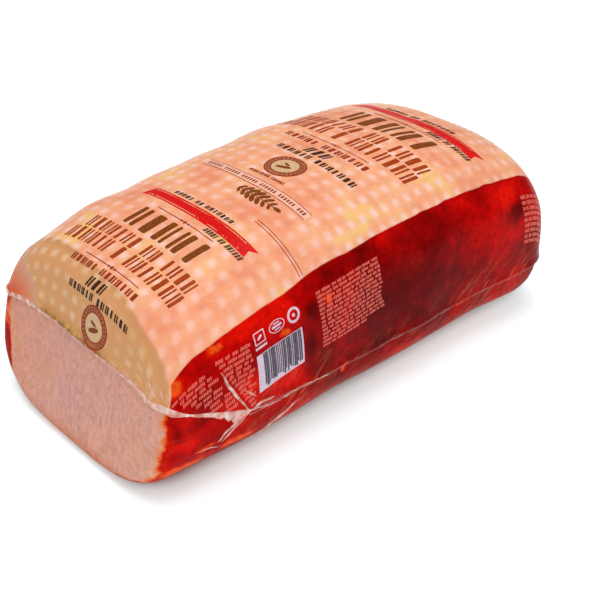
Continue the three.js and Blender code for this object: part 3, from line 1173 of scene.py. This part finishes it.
def marinade(tree, place):
    """Paprika marinade wetted onto the rind: deep red, orange where thin, near black in pools and in painted
    shade.
    """
    thin = add(tree, "Attribute", {}, attribute_name="thin").outputs["Fac"]
    bright = add(tree, "Attribute", {}, attribute_name="bright").outputs["Fac"]
    pooled_and_painted_shade = add(tree, "Attribute", {}, attribute_name="pooled_and_painted_shade").outputs["Fac"]
    clouds = add(
        tree, "TexNoise",
        {"Vector": place, "Scale": 1 / (30 * MM), "Detail": 4.0, "Roughness": 0.55, "Distortion": 0.5},
    )
    freshness = add(
        tree, "Math", {0: bright, 1: 0.26, 2: clouds.outputs["Fac"]}, operation="MULTIPLY_ADD",
    )
    red = add(
        tree, "ValToRGB", {"Fac": freshness.outputs["Value"]},
        stops=((0.32, "#800203"), (0.44, "#A20303"), (0.56, "#C40503"), (0.72, "#EA1204")),
    )
    ragged = add(
        tree, "TexNoise", {"Vector": place, "Scale": 1 / (8 * MM), "Detail": 4.0, "Roughness": 0.6},
    )

    # Brown smears of spice run down the lower side, 25 mm long and 4 mm wide, leaning 40 degrees
    smear_place = add(
        tree, "Mapping",
        {"Vector": place, "Rotation": (0.0, -0.7, 0.0), "Scale": (6.0, 1.5, 1.0)},
        vector_type="TEXTURE",
    )
    smears = add(
        tree, "TexNoise",
        {"Vector": smear_place.outputs["Vector"], "Scale": 1 / (4.5 * MM), "Detail": 3.0},
    )
    axes = add(tree, "SeparateXYZ", {"Vector": place})
    low = add(
        tree, "MapRange",
        {"Value": axes.outputs["Z"], "From Min": 60 * MM, "From Max": 36 * MM, "To Min": 0.0, "To Max": 0.75},
    )
    smear = add(
        tree, "MapRange", {"Value": smears.outputs["Fac"], "From Min": 0.5, "From Max": 0.68},
    )
    off_corner = add(
        tree, "MapRange",
        {"Value": axes.outputs["X"], "From Min": -112 * MM, "From Max": -84 * MM, "To Min": 0.15},
    )
    low_share = add(
        tree, "Math", {0: low.outputs["Result"], 1: off_corner.outputs["Result"]},
        operation="MULTIPLY",
    )
    smear_share = add(
        tree, "Math", {0: smear.outputs["Result"], 1: low_share.outputs["Value"]},
        operation="MULTIPLY",
    )
    smeared = add(
        tree, "MixRGB",
        {"Fac": smear_share.outputs["Value"], "Color1": red.outputs["Color"],
         "Color2": colour("#84240C")},
    )
    # Among them run finer pale streaks of spice and fat, 2.5 mm wide
    fine_streaks = add(
        tree, "TexNoise",
        {"Vector": smear_place.outputs["Vector"], "Scale": 1 / (2.5 * MM), "Detail": 2.0},
    )
    pale = add(
        tree, "MapRange",
        {"Value": fine_streaks.outputs["Fac"], "From Min": 0.54, "From Max": 0.68, "To Max": 0.8},
    )
    pale_share = add(
        tree, "Math", {0: pale.outputs["Result"], 1: low_share.outputs["Value"]},
        operation="MULTIPLY",
    )
    streaked = add(
        tree, "MixRGB",
        {"Fac": pale_share.outputs["Value"], "Color1": smeared.outputs["Color"],
         "Color2": colour("#BC6448")},
    )

    # Darkest where the marinade pools and where painted shade and shadow lie
    pool_and_shade_spread = add(
        tree, "Math", {0: ragged.outputs["Fac"], 1: 0.7, 2: pooled_and_painted_shade}, operation="MULTIPLY_ADD",
    )
    pool_and_shade_share = add(
        tree, "MapRange",
        {"Value": pool_and_shade_spread.outputs["Value"], "From Min": 0.5, "From Max": 1.05, "To Max": 0.85},
    )
    with_pools_and_painted_shade = add(
        tree, "MixRGB",
        {"Fac": pool_and_shade_share.outputs["Result"], "Color1": streaked.outputs["Color"],
         "Color2": colour("#560102")},
    )
    thin_spread = add(
        tree, "Math", {0: ragged.outputs["Fac"], 1: 1.3, 2: thin}, operation="MULTIPLY_ADD",
    )
    thinness = add(
        tree, "MapRange",
        {"Value": thin_spread.outputs["Value"], "From Min": 1.0, "From Max": 1.35},
    )
    oil = add(
        tree, "ValToRGB", {"Fac": thinness.outputs["Result"]},
        stops=((0.3, "#E41204"), (0.65, "#EC3408"), (1.0, "#F45416")),
    )
    with_oil = add(
        tree, "MixRGB",
        {"Fac": thinness.outputs["Result"], "Color1": with_pools_and_painted_shade.outputs["Color"],
         "Color2": oil.outputs["Color"]},
    )
    grains = add(
        tree, "TexNoise",
        {"Vector": place, "Scale": 1 / (3.2 * MM), "Detail": 3.0, "Roughness": 0.6},
    )
    grain_shade = add(
        tree, "ValToRGB", {"Fac": grains.outputs["Fac"]},
        stops=((0.34, "#BEBEBE"), (0.6, "#FFFFFF")),
    )
    return add(
        tree, "MixRGB",
        {"Fac": 0.55, "Color1": with_oil.outputs["Color"], "Color2": grain_shade.outputs["Color"]},
        blend_type="MULTIPLY",
    ).outputs["Color"]


def roast_pork_finish():
    """Cooked pork: dull pink, damp fibres where it is cut, and a wet red marinade on its rind."""
    finish, tree = new_finish("roast_pork_marinated")
    place = add(tree, "TexCoord", {}).outputs["Object"]
    past_edge = add(tree, "Attribute", {}, attribute_name="past_cut_edge").outputs["Fac"]

    # Muscle bundles swirl, so the fibres' coordinates are bent by a slow noise first
    swirl = add(
        tree, "TexNoise", {"Vector": place, "Scale": 1 / (55 * MM), "Detail": 1.0},
    )
    bend = add(
        tree, "VectorMath",
        {0: swirl.outputs["Color"], 1: (0.05, 0.05, 0.05)}, operation="MULTIPLY",
    )
    bent = add(
        tree, "VectorMath", {0: place, 1: bend.outputs["Vector"]}, operation="ADD",
    )
    # Fibres about 1.1 mm wide and 4 mm long show as short brush marks
    fibre_place = add(
        tree, "Mapping",
        {"Vector": bent.outputs["Vector"], "Rotation": (0.35, 0.0, 0.0), "Scale": (1.0, 2.0, 1.0)},
    )
    fibres = add(
        tree, "TexNoise",
        {"Vector": fibre_place.outputs["Vector"], "Scale": 1 / (5.5 * MM), "Detail": 4.0,
         "Roughness": 0.6, "Distortion": 0.5},
    )
    fibre_look = add(
        tree, "ValToRGB", {"Fac": fibres.outputs["Fac"]},
        stops=((0.32, "#CE948A"), (0.44, "#DAA092"), (0.55, "#E2AA9A"), (0.70, "#ECBAAC")),
    )
    zones = add(
        tree, "TexNoise", {"Vector": place, "Scale": 1 / (34 * MM), "Detail": 3.0},
    )
    zone_look = add(
        tree, "ValToRGB", {"Fac": zones.outputs["Fac"]},
        stops=((0.35, "#D89C94"), (0.5, "#E2A28E"), (0.65, "#EAA684")),
    )
    muscle = add(
        tree, "MixRGB",
        {"Fac": 0.45, "Color1": fibre_look.outputs["Color"], "Color2": zone_look.outputs["Color"]},
    )
    # Towards the far side the juice has stained it warmer
    axes = add(tree, "SeparateXYZ", {"Vector": place})
    far_side = add(
        tree, "MapRange",
        {"Value": axes.outputs["Y"], "From Min": 10 * MM, "From Max": 60 * MM, "To Max": 0.4},
    )
    flesh = add(
        tree, "MixRGB",
        {"Fac": far_side.outputs["Result"], "Color1": muscle.outputs["Color"],
         "Color2": colour("#E49674")},
    )
    # Dark wormy seams between the bundles, about 4 mm apart, lie where a noise crosses its middle
    seams = add(
        tree, "TexNoise",
        {"Vector": fibre_place.outputs["Vector"], "Scale": 1 / (8 * MM), "Detail": 2.5,
         "Roughness": 0.5, "Distortion": 1.0},
    )
    off_middle = add(tree, "Math", {0: seams.outputs["Fac"], 1: -0.5}, operation="ADD")
    seam_depth = add(tree, "Math", {0: off_middle.outputs["Value"]}, operation="ABSOLUTE")
    seam_shade = add(
        tree, "ValToRGB", {"Fac": seam_depth.outputs["Value"]},
        stops=((0.0, "#A88A84"), (0.022, "#DCCAC6"), (0.05, "#FFFFFF")),
    )
    cut = add(
        tree, "MixRGB",
        {"Fac": 0.26, "Color1": flesh.outputs["Color"], "Color2": seam_shade.outputs["Color"]},
        blend_type="MULTIPLY",
    )

    # The marinade soaks in from the rind along a ragged line
    ragged = add(
        tree, "TexNoise", {"Vector": place, "Scale": 1 / (9 * MM), "Detail": 5.0, "Roughness": 0.62},
    )
    soak = add(
        tree, "Math", {0: ragged.outputs["Fac"], 1: 16.0, 2: -8.0}, operation="MULTIPLY_ADD",
    )
    edge = add(tree, "Math", {0: past_edge, 1: soak.outputs["Value"]}, operation="ADD")
    orange = add(
        tree, "MapRange",
        {"Value": edge.outputs["Value"], "From Min": -4.4, "From Max": -1.8},
    )
    red = add(
        tree, "MapRange",
        {"Value": edge.outputs["Value"], "From Min": 0.4, "From Max": 2.0},
    )
    soaked = add(
        tree, "MapRange", {"Value": edge.outputs["Value"], "From Min": -4.4, "From Max": 2.0},
    )
    rind = add(
        tree, "ValToRGB", {"Fac": soaked.outputs["Result"]},
        stops=((0.1, "#E4A080"), (0.4, "#E88A5A"), (0.68, "#E2501E"), (0.95, "#CC220A")),
    )
    with_orange = add(
        tree, "MixRGB",
        {"Fac": orange.outputs["Result"], "Color1": cut.outputs["Color"],
         "Color2": rind.outputs["Color"]},
    )
    whole = add(
        tree, "MixRGB",
        {"Fac": red.outputs["Result"], "Color1": with_orange.outputs["Color"],
         "Color2": marinade(tree, place)},
    )
    grain = add(tree, "Bump", {"Height": fibres.outputs["Fac"], "Strength": 0.2, "Distance": 0.5 * MM})
    shader = add(
        tree, "BsdfPrincipled",
        {"Base Color": whole.outputs["Color"], "Normal": grain.outputs["Normal"], "Roughness": 0.4,
         "IOR": 1.4, "Specular IOR Level": 0.03},
    )
    show(tree, shader)
    return finish


def film_tension(tree, place):
    """Normal of film drawn tight: faint dimples, and sharp little ridges where it is gathered."""
    gathered = add(tree, "Attribute", {}, attribute_name="gathered").outputs["Fac"]
    dimples = add(
        tree, "TexNoise", {"Vector": place, "Scale": 1 / (5 * MM), "Detail": 2.0},
    )
    creases = add(
        tree, "TexNoise",
        {"Vector": place, "Scale": 1 / (11 * MM), "Detail": 3.0, "Roughness": 0.5, "Distortion": 1.2},
    )
    off_middle = add(tree, "Math", {0: creases.outputs["Fac"], 1: -0.5}, operation="ADD")
    depth = add(tree, "Math", {0: off_middle.outputs["Value"]}, operation="ABSOLUTE")
    ridge = add(
        tree, "MapRange",
        {"Value": depth.outputs["Value"], "From Min": 0.0, "From Max": 0.07, "To Min": 1.0,
         "To Max": 0.0},
    )
    gathering = add(tree, "Math", {0: ridge.outputs["Result"], 1: gathered}, operation="MULTIPLY")
    height = add(
        tree, "Math", {0: dimples.outputs["Fac"], 1: 0.3, 2: gathering.outputs["Value"]},
        operation="MULTIPLY_ADD",
    )
    return add(
        tree, "Bump", {"Height": height.outputs["Value"], "Strength": 0.6, "Distance": 0.6 * MM},
    ).outputs["Normal"]


def printed_film_finish():
    """Printed shrink film: inks behind a clear polyamide skin, so satin with a wet edge light."""
    finish, tree = new_finish("printed_polyamide_film")
    place = add(tree, "TexCoord", {}).outputs["Object"]
    chart = add(tree, "UVMap", {}, uv_map=PRINT_MAP).outputs["UV"]
    window = add(tree, "Attribute", {}, attribute_name="window").outputs["Fac"]
    past_border = add(tree, "Attribute", {}, attribute_name="past_border").outputs["Fac"]
    past_crease = add(tree, "Attribute", {}, attribute_name="past_crease").outputs["Fac"]
    juice_and_gap_shade = add(tree, "Attribute", {}, attribute_name="juice_and_gap_shade").outputs["Fac"]

    # Woven check printed in pale soft spots where two open stripes cross
    open_stripes = []
    for direction, pitch in (("X", CHECK_PITCH_ALONG), ("Y", CHECK_PITCH_ACROSS)):
        wave = add(
            tree, "TexWave",
            {"Vector": chart, "Scale": WAVE_TURN / pitch, "Distortion": 0.0},
            wave_type="BANDS", bands_direction=direction,
        )
        stripe = add(
            tree, "MapRange",
            {"Value": wave.outputs["Fac"], "From Min": 0.08, "From Max": 1.05},
            interpolation_type="SMOOTHSTEP",
        )
        open_stripes.append(stripe.outputs["Result"])
    crossing = add(tree, "Math", {0: open_stripes[0], 1: open_stripes[1]}, operation="MULTIPLY")
    either = add(tree, "Math", {0: open_stripes[0], 1: open_stripes[1]}, operation="ADD")
    faint = add(tree, "Math", {0: either.outputs["Value"], 1: 0.07}, operation="MULTIPLY")

    # Peach ink over uneven fat: redder and yellower patches about 30 mm across
    patches = add(
        tree, "TexNoise", {"Vector": place, "Scale": 1 / (26 * MM), "Detail": 3.0, "Roughness": 0.55},
    )
    peach = add(
        tree, "ValToRGB", {"Fac": patches.outputs["Fac"]},
        stops=((0.34, "#F09872"), (0.47, "#F5A880"), (0.6, "#F7B286"), (0.7, "#F6C27C")),
    )
    ground = add(
        tree, "MixRGB",
        {"Fac": faint.outputs["Value"], "Color1": peach.outputs["Color"], "Color2": colour("#FACCB8")},
    )
    wear = add(
        tree, "MapRange",
        {"Value": patches.outputs["Fac"], "From Min": 0.36, "From Max": 0.64, "To Min": 0.25,
         "To Max": 0.86},
    )
    spot_strength = add(
        tree, "Math", {0: crossing.outputs["Value"], 1: wear.outputs["Result"]},
        operation="MULTIPLY",
    )
    check = add(
        tree, "MixRGB",
        {"Fac": spot_strength.outputs["Value"], "Color1": ground.outputs["Color"],
         "Color2": colour("#FBD0C6")},
    )

    # On the cut end the film stands off the meat, so its ink shows beige, with painted shade just under the
    # border
    painted_border_shade = add(
        tree, "MapRange",
        {"Value": past_border, "From Min": 0.0, "From Max": 6.0, "To Min": 0.5, "To Max": 0.0},
    )
    beige = add(
        tree, "MixRGB",
        {"Fac": painted_border_shade.outputs["Result"], "Color1": colour("#DA9D6A"), "Color2": colour("#BC8256")},
    )
    beige_check = add(
        tree, "MixRGB",
        {"Fac": spot_strength.outputs["Value"], "Color1": beige.outputs["Color"],
         "Color2": colour("#E8C09A")},
    )
    # Golden juice: its line along the weld is partly painted shade of the gap there, and the light end of its
    # ramp is painted glints
    juice_and_glint_noise = add(
        tree, "TexNoise", {"Vector": place, "Scale": 1 / (4 * MM), "Detail": 3.0},
    )
    juice_and_shade_spread = add(
        tree, "Math", {0: juice_and_glint_noise.outputs["Fac"], 1: 0.8, 2: juice_and_gap_shade}, operation="MULTIPLY_ADD",
    )
    juice_and_shade_share = add(
        tree, "MapRange",
        {"Value": juice_and_shade_spread.outputs["Value"], "From Min": 0.55, "From Max": 1.3, "To Max": 0.95},
    )
    juice_and_glint_look = add(
        tree, "ValToRGB", {"Fac": juice_and_glint_noise.outputs["Fac"]},
        stops=((0.4, "#86541A"), (0.54, "#AC762E"), (0.68, "#DCA24A")),
    )
    golden = add(
        tree, "MixRGB",
        {"Fac": juice_and_shade_share.outputs["Result"], "Color1": beige_check.outputs["Color"],
         "Color2": juice_and_glint_look.outputs["Color"]},
    )
    beyond_crease = add(
        tree, "MapRange", {"Value": past_crease, "From Min": -0.4, "From Max": 1.2},
    )
    drawn_round = add(
        tree, "MapRange", {"Value": past_crease, "From Min": 0.0, "From Max": 30.0},
    )
    gusset_look = add(
        tree, "ValToRGB", {"Fac": drawn_round.outputs["Result"]},
        stops=((0.0, "#D8A488"), (0.22, "#DC9474"), (0.5, "#E07C58"), (0.85, "#DC5A34")),
    )
    with_gusset = add(
        tree, "MixRGB",
        {"Fac": beyond_crease.outputs["Result"], "Color1": golden.outputs["Color"],
         "Color2": gusset_look.outputs["Color"]},
    )
    on_end = add(
        tree, "MapRange", {"Value": past_border, "From Min": -END_BORDER_BLUR, "From Max": END_BORDER_BLUR},
    )
    # The meat's surface, pressed to the film in 7 mm lumps, mottles the ink
    lumps = add(
        tree, "TexNoise", {"Vector": place, "Scale": 1 / (7 * MM), "Detail": 4.0, "Roughness": 0.65},
    )
    lump_shade = add(
        tree, "ValToRGB", {"Fac": lumps.outputs["Fac"]},
        stops=((0.36, "#EEDCD0"), (0.56, "#FFFFFF")),
    )
    mottled = add(
        tree, "MixRGB",
        {"Fac": 0.45, "Color1": check.outputs["Color"], "Color2": lump_shade.outputs["Color"]},
        blend_type="MULTIPLY",
    )
    paper = add(
        tree, "MixRGB",
        {"Fac": on_end.outputs["Result"], "Color1": mottled.outputs["Color"],
         "Color2": with_gusset.outputs["Color"]},
    )

    # The window's edge is printed sharp, but is drawn out a little where the film shrank
    edge_noise = add(
        tree, "TexNoise", {"Vector": place, "Scale": 1 / (14 * MM), "Detail": 2.0},
    )
    edge_shift = add(
        tree, "Math", {0: edge_noise.outputs["Fac"], 1: 2.4, 2: -1.2}, operation="MULTIPLY_ADD",
    )
    depth = add(tree, "Math", {0: window, 1: edge_shift.outputs["Value"]}, operation="ADD")
    open_window = add(
        tree, "MapRange",
        {"Value": depth.outputs["Value"], "From Min": -0.3, "From Max": 0.3},
    )
    skin = add(
        tree, "MixRGB",
        {"Fac": open_window.outputs["Result"], "Color1": paper.outputs["Color"],
         "Color2": marinade(tree, place)},
    )
    shader = add(
        tree, "BsdfPrincipled",
        {"Base Color": skin.outputs["Color"], "Normal": film_tension(tree, place),
         "Roughness": 0.26, "IOR": 1.5, "Specular IOR Level": 0.03},
    )
    show(tree, shader)
    return finish


def clear_film_finish():
    """Clear polyamide shrink film: nearly unseen, but hazy in streaks, and hazy with a painted highlight
    where it turns under.
    """
    finish, tree = new_finish("clear_polyamide_film")
    place = add(tree, "TexCoord", {}).outputs["Object"]
    foot = add(tree, "Attribute", {}, attribute_name="foot").outputs["Fac"]
    streak_place = add(
        tree, "Mapping", {"Vector": place, "Rotation": (0.0, 0.5, 0.0), "Scale": (1.0, 1.0, 4.0)},
    )
    streaks = add(
        tree, "TexNoise",
        {"Vector": streak_place.outputs["Vector"], "Scale": 1 / (26 * MM), "Detail": 4.0,
         "Roughness": 0.6},
    )
    streak_haze = add(
        tree, "MapRange",
        {"Value": streaks.outputs["Fac"], "From Min": 0.6, "From Max": 0.78,
         "To Min": 0.0, "To Max": 0.14},
    )
    # Haze at the turned-under foot, partly a painted highlight along the bottom edge
    base_haze_and_highlight = add(tree, "MapRange", {"Value": foot, "To Max": 0.22})
    haze = add(
        tree, "Math",
        {0: streak_haze.outputs["Result"], 1: base_haze_and_highlight.outputs["Result"]}, operation="MAXIMUM",
    )
    shader = add(
        tree, "BsdfPrincipled",
        {"Base Color": colour("#E8875C"), "Alpha": haze.outputs["Value"], "Roughness": 0.15,
         "Normal": film_tension(tree, place), "IOR": 1.5, "Specular IOR Level": 0.1},
    )
    show(tree, shader)
    return finish


def welded_film_finish():
    """Two films welded and crushed together: whitish, half clear, with shiny crests; part of the whiteness is
    painted highlight.
    """
    finish, tree = new_finish("welded_polyamide_film")
    place = add(tree, "TexCoord", {}).outputs["Object"]
    milky_and_highlight = add(tree, "Attribute", {}, attribute_name="milky_and_highlight").outputs["Fac"]
    specks = add(
        tree, "TexNoise", {"Vector": place, "Scale": 1 / (4.5 * MM), "Detail": 2.0},
    )
    speck_look = add(
        tree, "ValToRGB", {"Fac": specks.outputs["Fac"]},
        stops=((0.35, "#FFAA94"), (0.62, "#FFE6DC")),
    )
    unevenness = add(
        tree, "MapRange",
        {"Value": specks.outputs["Fac"], "From Min": 0.3, "From Max": 0.7,
         "To Min": 0.7, "To Max": 1.1},
    )
    # Cover follows the milkiness, part of which is painted highlight
    cover = add(
        tree, "Math", {0: milky_and_highlight, 1: unevenness.outputs["Result"]}, operation="MULTIPLY",
        use_clamp=True,
    )
    shader = add(
        tree, "BsdfPrincipled",
        {"Base Color": speck_look.outputs["Color"], "Alpha": cover.outputs["Value"],
         "Roughness": 0.22, "IOR": 1.5},
    )
    show(tree, shader)
    return finish


def ink_finish(name, light, dark):
    """Gravure ink under the film's skin: flat in colour but for the faint mottle of its cells."""
    finish, tree = new_finish(name)
    place = add(tree, "TexCoord", {}).outputs["Object"]
    # The cells are 0.1 mm, too fine to show, so the mottle is drawn as 1.5 mm clouds of them
    mottle = add(
        tree, "TexNoise", {"Vector": place, "Scale": 1 / (1.5 * MM), "Detail": 2.0},
    )
    look = add(
        tree, "ValToRGB", {"Fac": mottle.outputs["Fac"]}, stops=((0.35, dark), (0.65, light)),
    )
    shader = add(
        tree, "BsdfPrincipled",
        {"Base Color": look.outputs["Color"], "Roughness": 0.3, "IOR": 1.5,
         "Specular IOR Level": 0.04},
    )
    show(tree, shader)
    return finish


# Places of the print on the upper film


def window_depth(sheet):
    """How far each point lies inside a clear window, in millimetres; negative is outside."""
    along = np.broadcast_to(sheet.along[:, None], sheet.across.shape)
    past_corner = np.clip((WINDOW_CORNER - along) / (WINDOW_CORNER - WINDOW_START), 0, 1.5)
    drop = WINDOW_CORNER_DROP * past_corner + WINDOW_DIP * (1 - smooth(along, *WINDOW_DIP_ENDS))
    near = WINDOW_ACROSS_NEAR - drop - sheet.across
    far = sheet.across - WINDOW_ACROSS_FAR - drop
    return np.minimum(np.maximum(near, far), along - WINDOW_START)


def past_end_border(sheet):
    """How far each point lies past the border on the rim, towards the cut end."""
    along = np.broadcast_to(sheet.along[:, None], sheet.across.shape)
    bulge = BORDER_BULGE * np.exp(-(((sheet.across - BORDER_BULGE_AT) / BORDER_BULGE_REACH) ** 2))
    aside = np.maximum(sheet.across - LABEL_MIDDLE, END_BORDER_SLOPE_END)
    border = END_BORDER + END_BORDER_SLOPE * aside - bulge
    return np.clip(border - along, -12, 12)


def past_gusset_crease(sheet):
    """How far each point lies beyond the crease where the film is drawn round the far corner."""
    along = np.broadcast_to(sheet.along[:, None], sheet.across.shape)
    rise = along - sheet.along[0]
    crease = GUSSET_CREASE + GUSSET_SLOPE * rise + GUSSET_CURVE * rise**2
    return np.clip(sheet.across - crease, *GUSSET_LIMITS)


def held_juice_and_gap_shade(sheet):
    """Juice held under the film along the middle of the weld on the cut end; its line along the weld is
    partly painted shade of the gap there.
    """
    start, full, fade, end = JUICE_ENDS
    tint = 1 - smooth(sheet.from_weld, 0.0, JUICE_REACH)
    reach = JUICE_TINT * tint + (1 - JUICE_TINT) * (1 - smooth(sheet.from_weld, 0.0, JUICE_AND_GAP_SHADE_LINE))
    span = smooth(sheet.across, start, full) * (1 - smooth(sheet.across, fade, end))
    on_face = (sheet.along < END_BORDER)[:, None]
    return reach * span * on_face


def foot_share(points):
    """How much of the haze of the film's turned-under edge, partly painted highlight, lies on each point."""
    side = smooth(abs(points[..., 1]), *FOOT_SIDES)
    top = FOOT_ON_FACE + (FOOT_ON_SIDE - FOOT_ON_FACE) * side
    share = np.clip((top - points[..., 2]) / (top * (1 - FOOT_FULL)), 0.0, 1.0)
    return share


def print_labels(sheet):
    """All print on the upper film, one piece for each ink."""
    inks = {
        name: ink_finish(name + "_ink", light, dark) for name, light, dark in INKS
    }
    arts = {name: bmesh.new() for name in inks}
    for label in (NEAR_LABEL, FAR_LABEL):
        for line in RUST_LINES:
            label_line(arts["rust"], line, label)
        for line in BROWN_LINES:
            label_line(arts["brown"], line, label)
        for line in SMALL_BROWN_LINES:
            label_line(arts["russet"], line, label)
        for line in DARK_LINES:
            label_line(arts["dark"], line, label)
        for rule in LABEL_RULES:
            draw_dotted_rule(arts["russet"], label, *rule)
        draw_sprig(arts["brown"], label)
        draw_ribbon(arts["red"], label)
        draw_badge_rims(arts["russet"], label)
        draw_badge_marks(arts["brown"], label)
        along, across, stretch = ring_badge_middle(label)
        inner = BADGE_RADIUS - BADGE_BAND + BADGE_RIM
        draw_band(arts["ochre"], along, across, BADGE_RADIUS - BADGE_RIM, inner, stretch)
        draw_disc(
            arts["cream"], along, across, 2 * (BADGE_RADIUS - BADGE_BAND),
            2 * (BADGE_RADIUS - BADGE_BAND) * stretch, sides=40,
        )
    for label in (NEAR_LABEL, FAR_LABEL):
        draw_strip(arts["blush"], label, False)
        draw_strip(arts["russet"], label, True)
        draw_ribbon_lines(arts["cream"], label)
    for along, start, end in SEAM_LINES:
        draw_patch(arts["russet"], along, (start + end) / 2, SEAM_LINE_WIDTH, start - end)
    weld_line = (sheet.along, sheet.across[:, 0])
    chance = random.Random(SMALL_TYPE_SEED)
    for block in NEAR_BLOCKS + FAR_BLOCKS:
        draw_small_type(arts["rose"], block, weld_line, chance)
    for panel in (NEAR_PANEL, FAR_PANEL):
        draw_signs(arts["lilac"], panel)
        draw_code_panel(arts["lilac"], panel, False)
        draw_code_panel(arts["slate"], panel, True)
    for name, art in arts.items():
        layer = 2 if name in UPPER_INKS else 1
        print_flat_art(art, sheet, name + "_print", inks[name], layer)


# Floor, light and camera


def studio():
    """White ground with painted light: it glows more away from the loin's foot; one broad soft light
    overhead, a smaller fill light and a white room around.
    """
    paper, tree = new_finish("white_studio_paper")
    # Painted light: the paper glows beyond the loin's foot, so that its shadow stays close to it
    place = add(tree, "TexCoord", {}).outputs["Object"]
    aside = add(tree, "VectorMath", {0: place}, operation="ABSOLUTE")
    past_core = add(
        tree, "VectorMath", {0: aside.outputs["Vector"], 1: GLOW_CORE}, operation="SUBTRACT",
    )
    outside = add(
        tree, "VectorMath", {0: past_core.outputs["Vector"], 1: (0, 0, 0)}, operation="MAXIMUM",
    )
    distance = add(tree, "VectorMath", {0: outside.outputs["Vector"]}, operation="LENGTH")
    reach = add(
        tree, "MapRange",
        {"Value": distance.outputs["Value"], "From Min": GLOW_START, "From Max": GLOW_END},
    )
    glow = add(tree, "ValToRGB", {"Fac": reach.outputs["Result"]}, stops=GLOW)
    shader = add(
        tree, "BsdfPrincipled",
        {"Base Color": colour("#E7E7E7"), "Roughness": 0.9, "Specular IOR Level": 0.1,
         "Emission Color": glow.outputs["Color"], "Emission Strength": 1.0},
    )
    show(tree, shader)
    bm = bmesh.new()
    bmesh.ops.create_grid(bm, x_segments=1, y_segments=1, size=FLOOR_HALF)
    bmesh.ops.translate(bm, vec=(0, 0, -FLOOR_GAP), verts=bm.verts)
    mesh = bpy.data.meshes.new("studio_ground")
    bm.to_mesh(mesh)
    bm.free()
    mesh.materials.append(paper)
    ground = bpy.data.objects.new("studio_ground", mesh)
    bpy.context.collection.objects.link(ground)
    room = bpy.data.worlds.new("white_room")
    room.use_nodes = True
    room.node_tree.nodes["Background"].inputs["Color"].default_value = (1, 1, 1, 1)
    room.node_tree.nodes["Background"].inputs["Strength"].default_value = ROOM_LIGHT
    bpy.context.scene.world = room
    for name, place, size, power in LIGHTS:
        lamp = bpy.data.lights.new(name, "AREA")
        lamp.shape = "SQUARE"
        lamp.size = size
        lamp.energy = power
        holder = bpy.data.objects.new(name, lamp)
        holder.location = place
        holder.rotation_euler = (-Vector(place)).to_track_quat("-Z", "Y").to_euler()
        bpy.context.collection.objects.link(holder)
    bpy.context.scene.view_settings.view_transform = "Standard"


def photo_camera():
    """Camera at the photograph's viewing angle."""
    lens = bpy.data.cameras.new("photo_view")
    lens.lens = CAMERA_LENS
    lens.sensor_width = CAMERA_SENSOR
    camera = bpy.data.objects.new("photo_view", lens)
    camera.location = CAMERA_PLACE
    yaw, pitch = math.radians(CAMERA_YAW), math.radians(CAMERA_PITCH)
    ahead = Vector(
        (math.sin(yaw) * math.cos(pitch), math.cos(yaw) * math.cos(pitch), -math.sin(pitch))
    )
    camera.rotation_euler = ahead.to_track_quat("-Z", "Y").to_euler()
    bpy.context.collection.objects.link(camera)
    bpy.context.scene.camera = camera


photo_camera()
studio()
upper = film_sheet(True, UPPER_COLUMNS)
lower = film_sheet(False, LOWER_COLUMNS)
pork_body(roast_pork_finish())
clear_film = clear_film_finish()
welded_film = welded_film_finish()
unshifted = upper.points - FORM_SHIFT
marks = {
    "window": window_depth(upper),
    "past_border": past_end_border(upper),
    "past_crease": past_gusset_crease(upper),
    "juice_and_gap_shade": held_juice_and_gap_shade(upper),
    "thin": share_of_places(unshifted, THIN_MARINADE),
    "bright": share_of_places(unshifted, BRIGHT_MARINADE),
    "pooled_and_painted_shade": share_of_places(unshifted, POOLED_MARINADE_AND_PAINTED_SHADE),
    "gathered": share_of_places(unshifted, GATHERS),
}
lower_marks = {
    "gathered": share_of_places(lower.points - FORM_SHIFT, GATHERS),
    "foot": foot_share(lower.points),
}
top_film = dress(
    film_mesh(upper, True, marks), "printed_film", printed_film_finish()
)
bottom_film = dress(film_mesh(lower, False, lower_marks), "clear_film", clear_film)
for film in (top_film, bottom_film):
    give_film_thickness(film)
search = film_search((upper, lower))
welded_edge(lower, search, welded_film)
film_pleats(search, welded_film)
print_labels(upper)

bpy.context.view_layer.update()
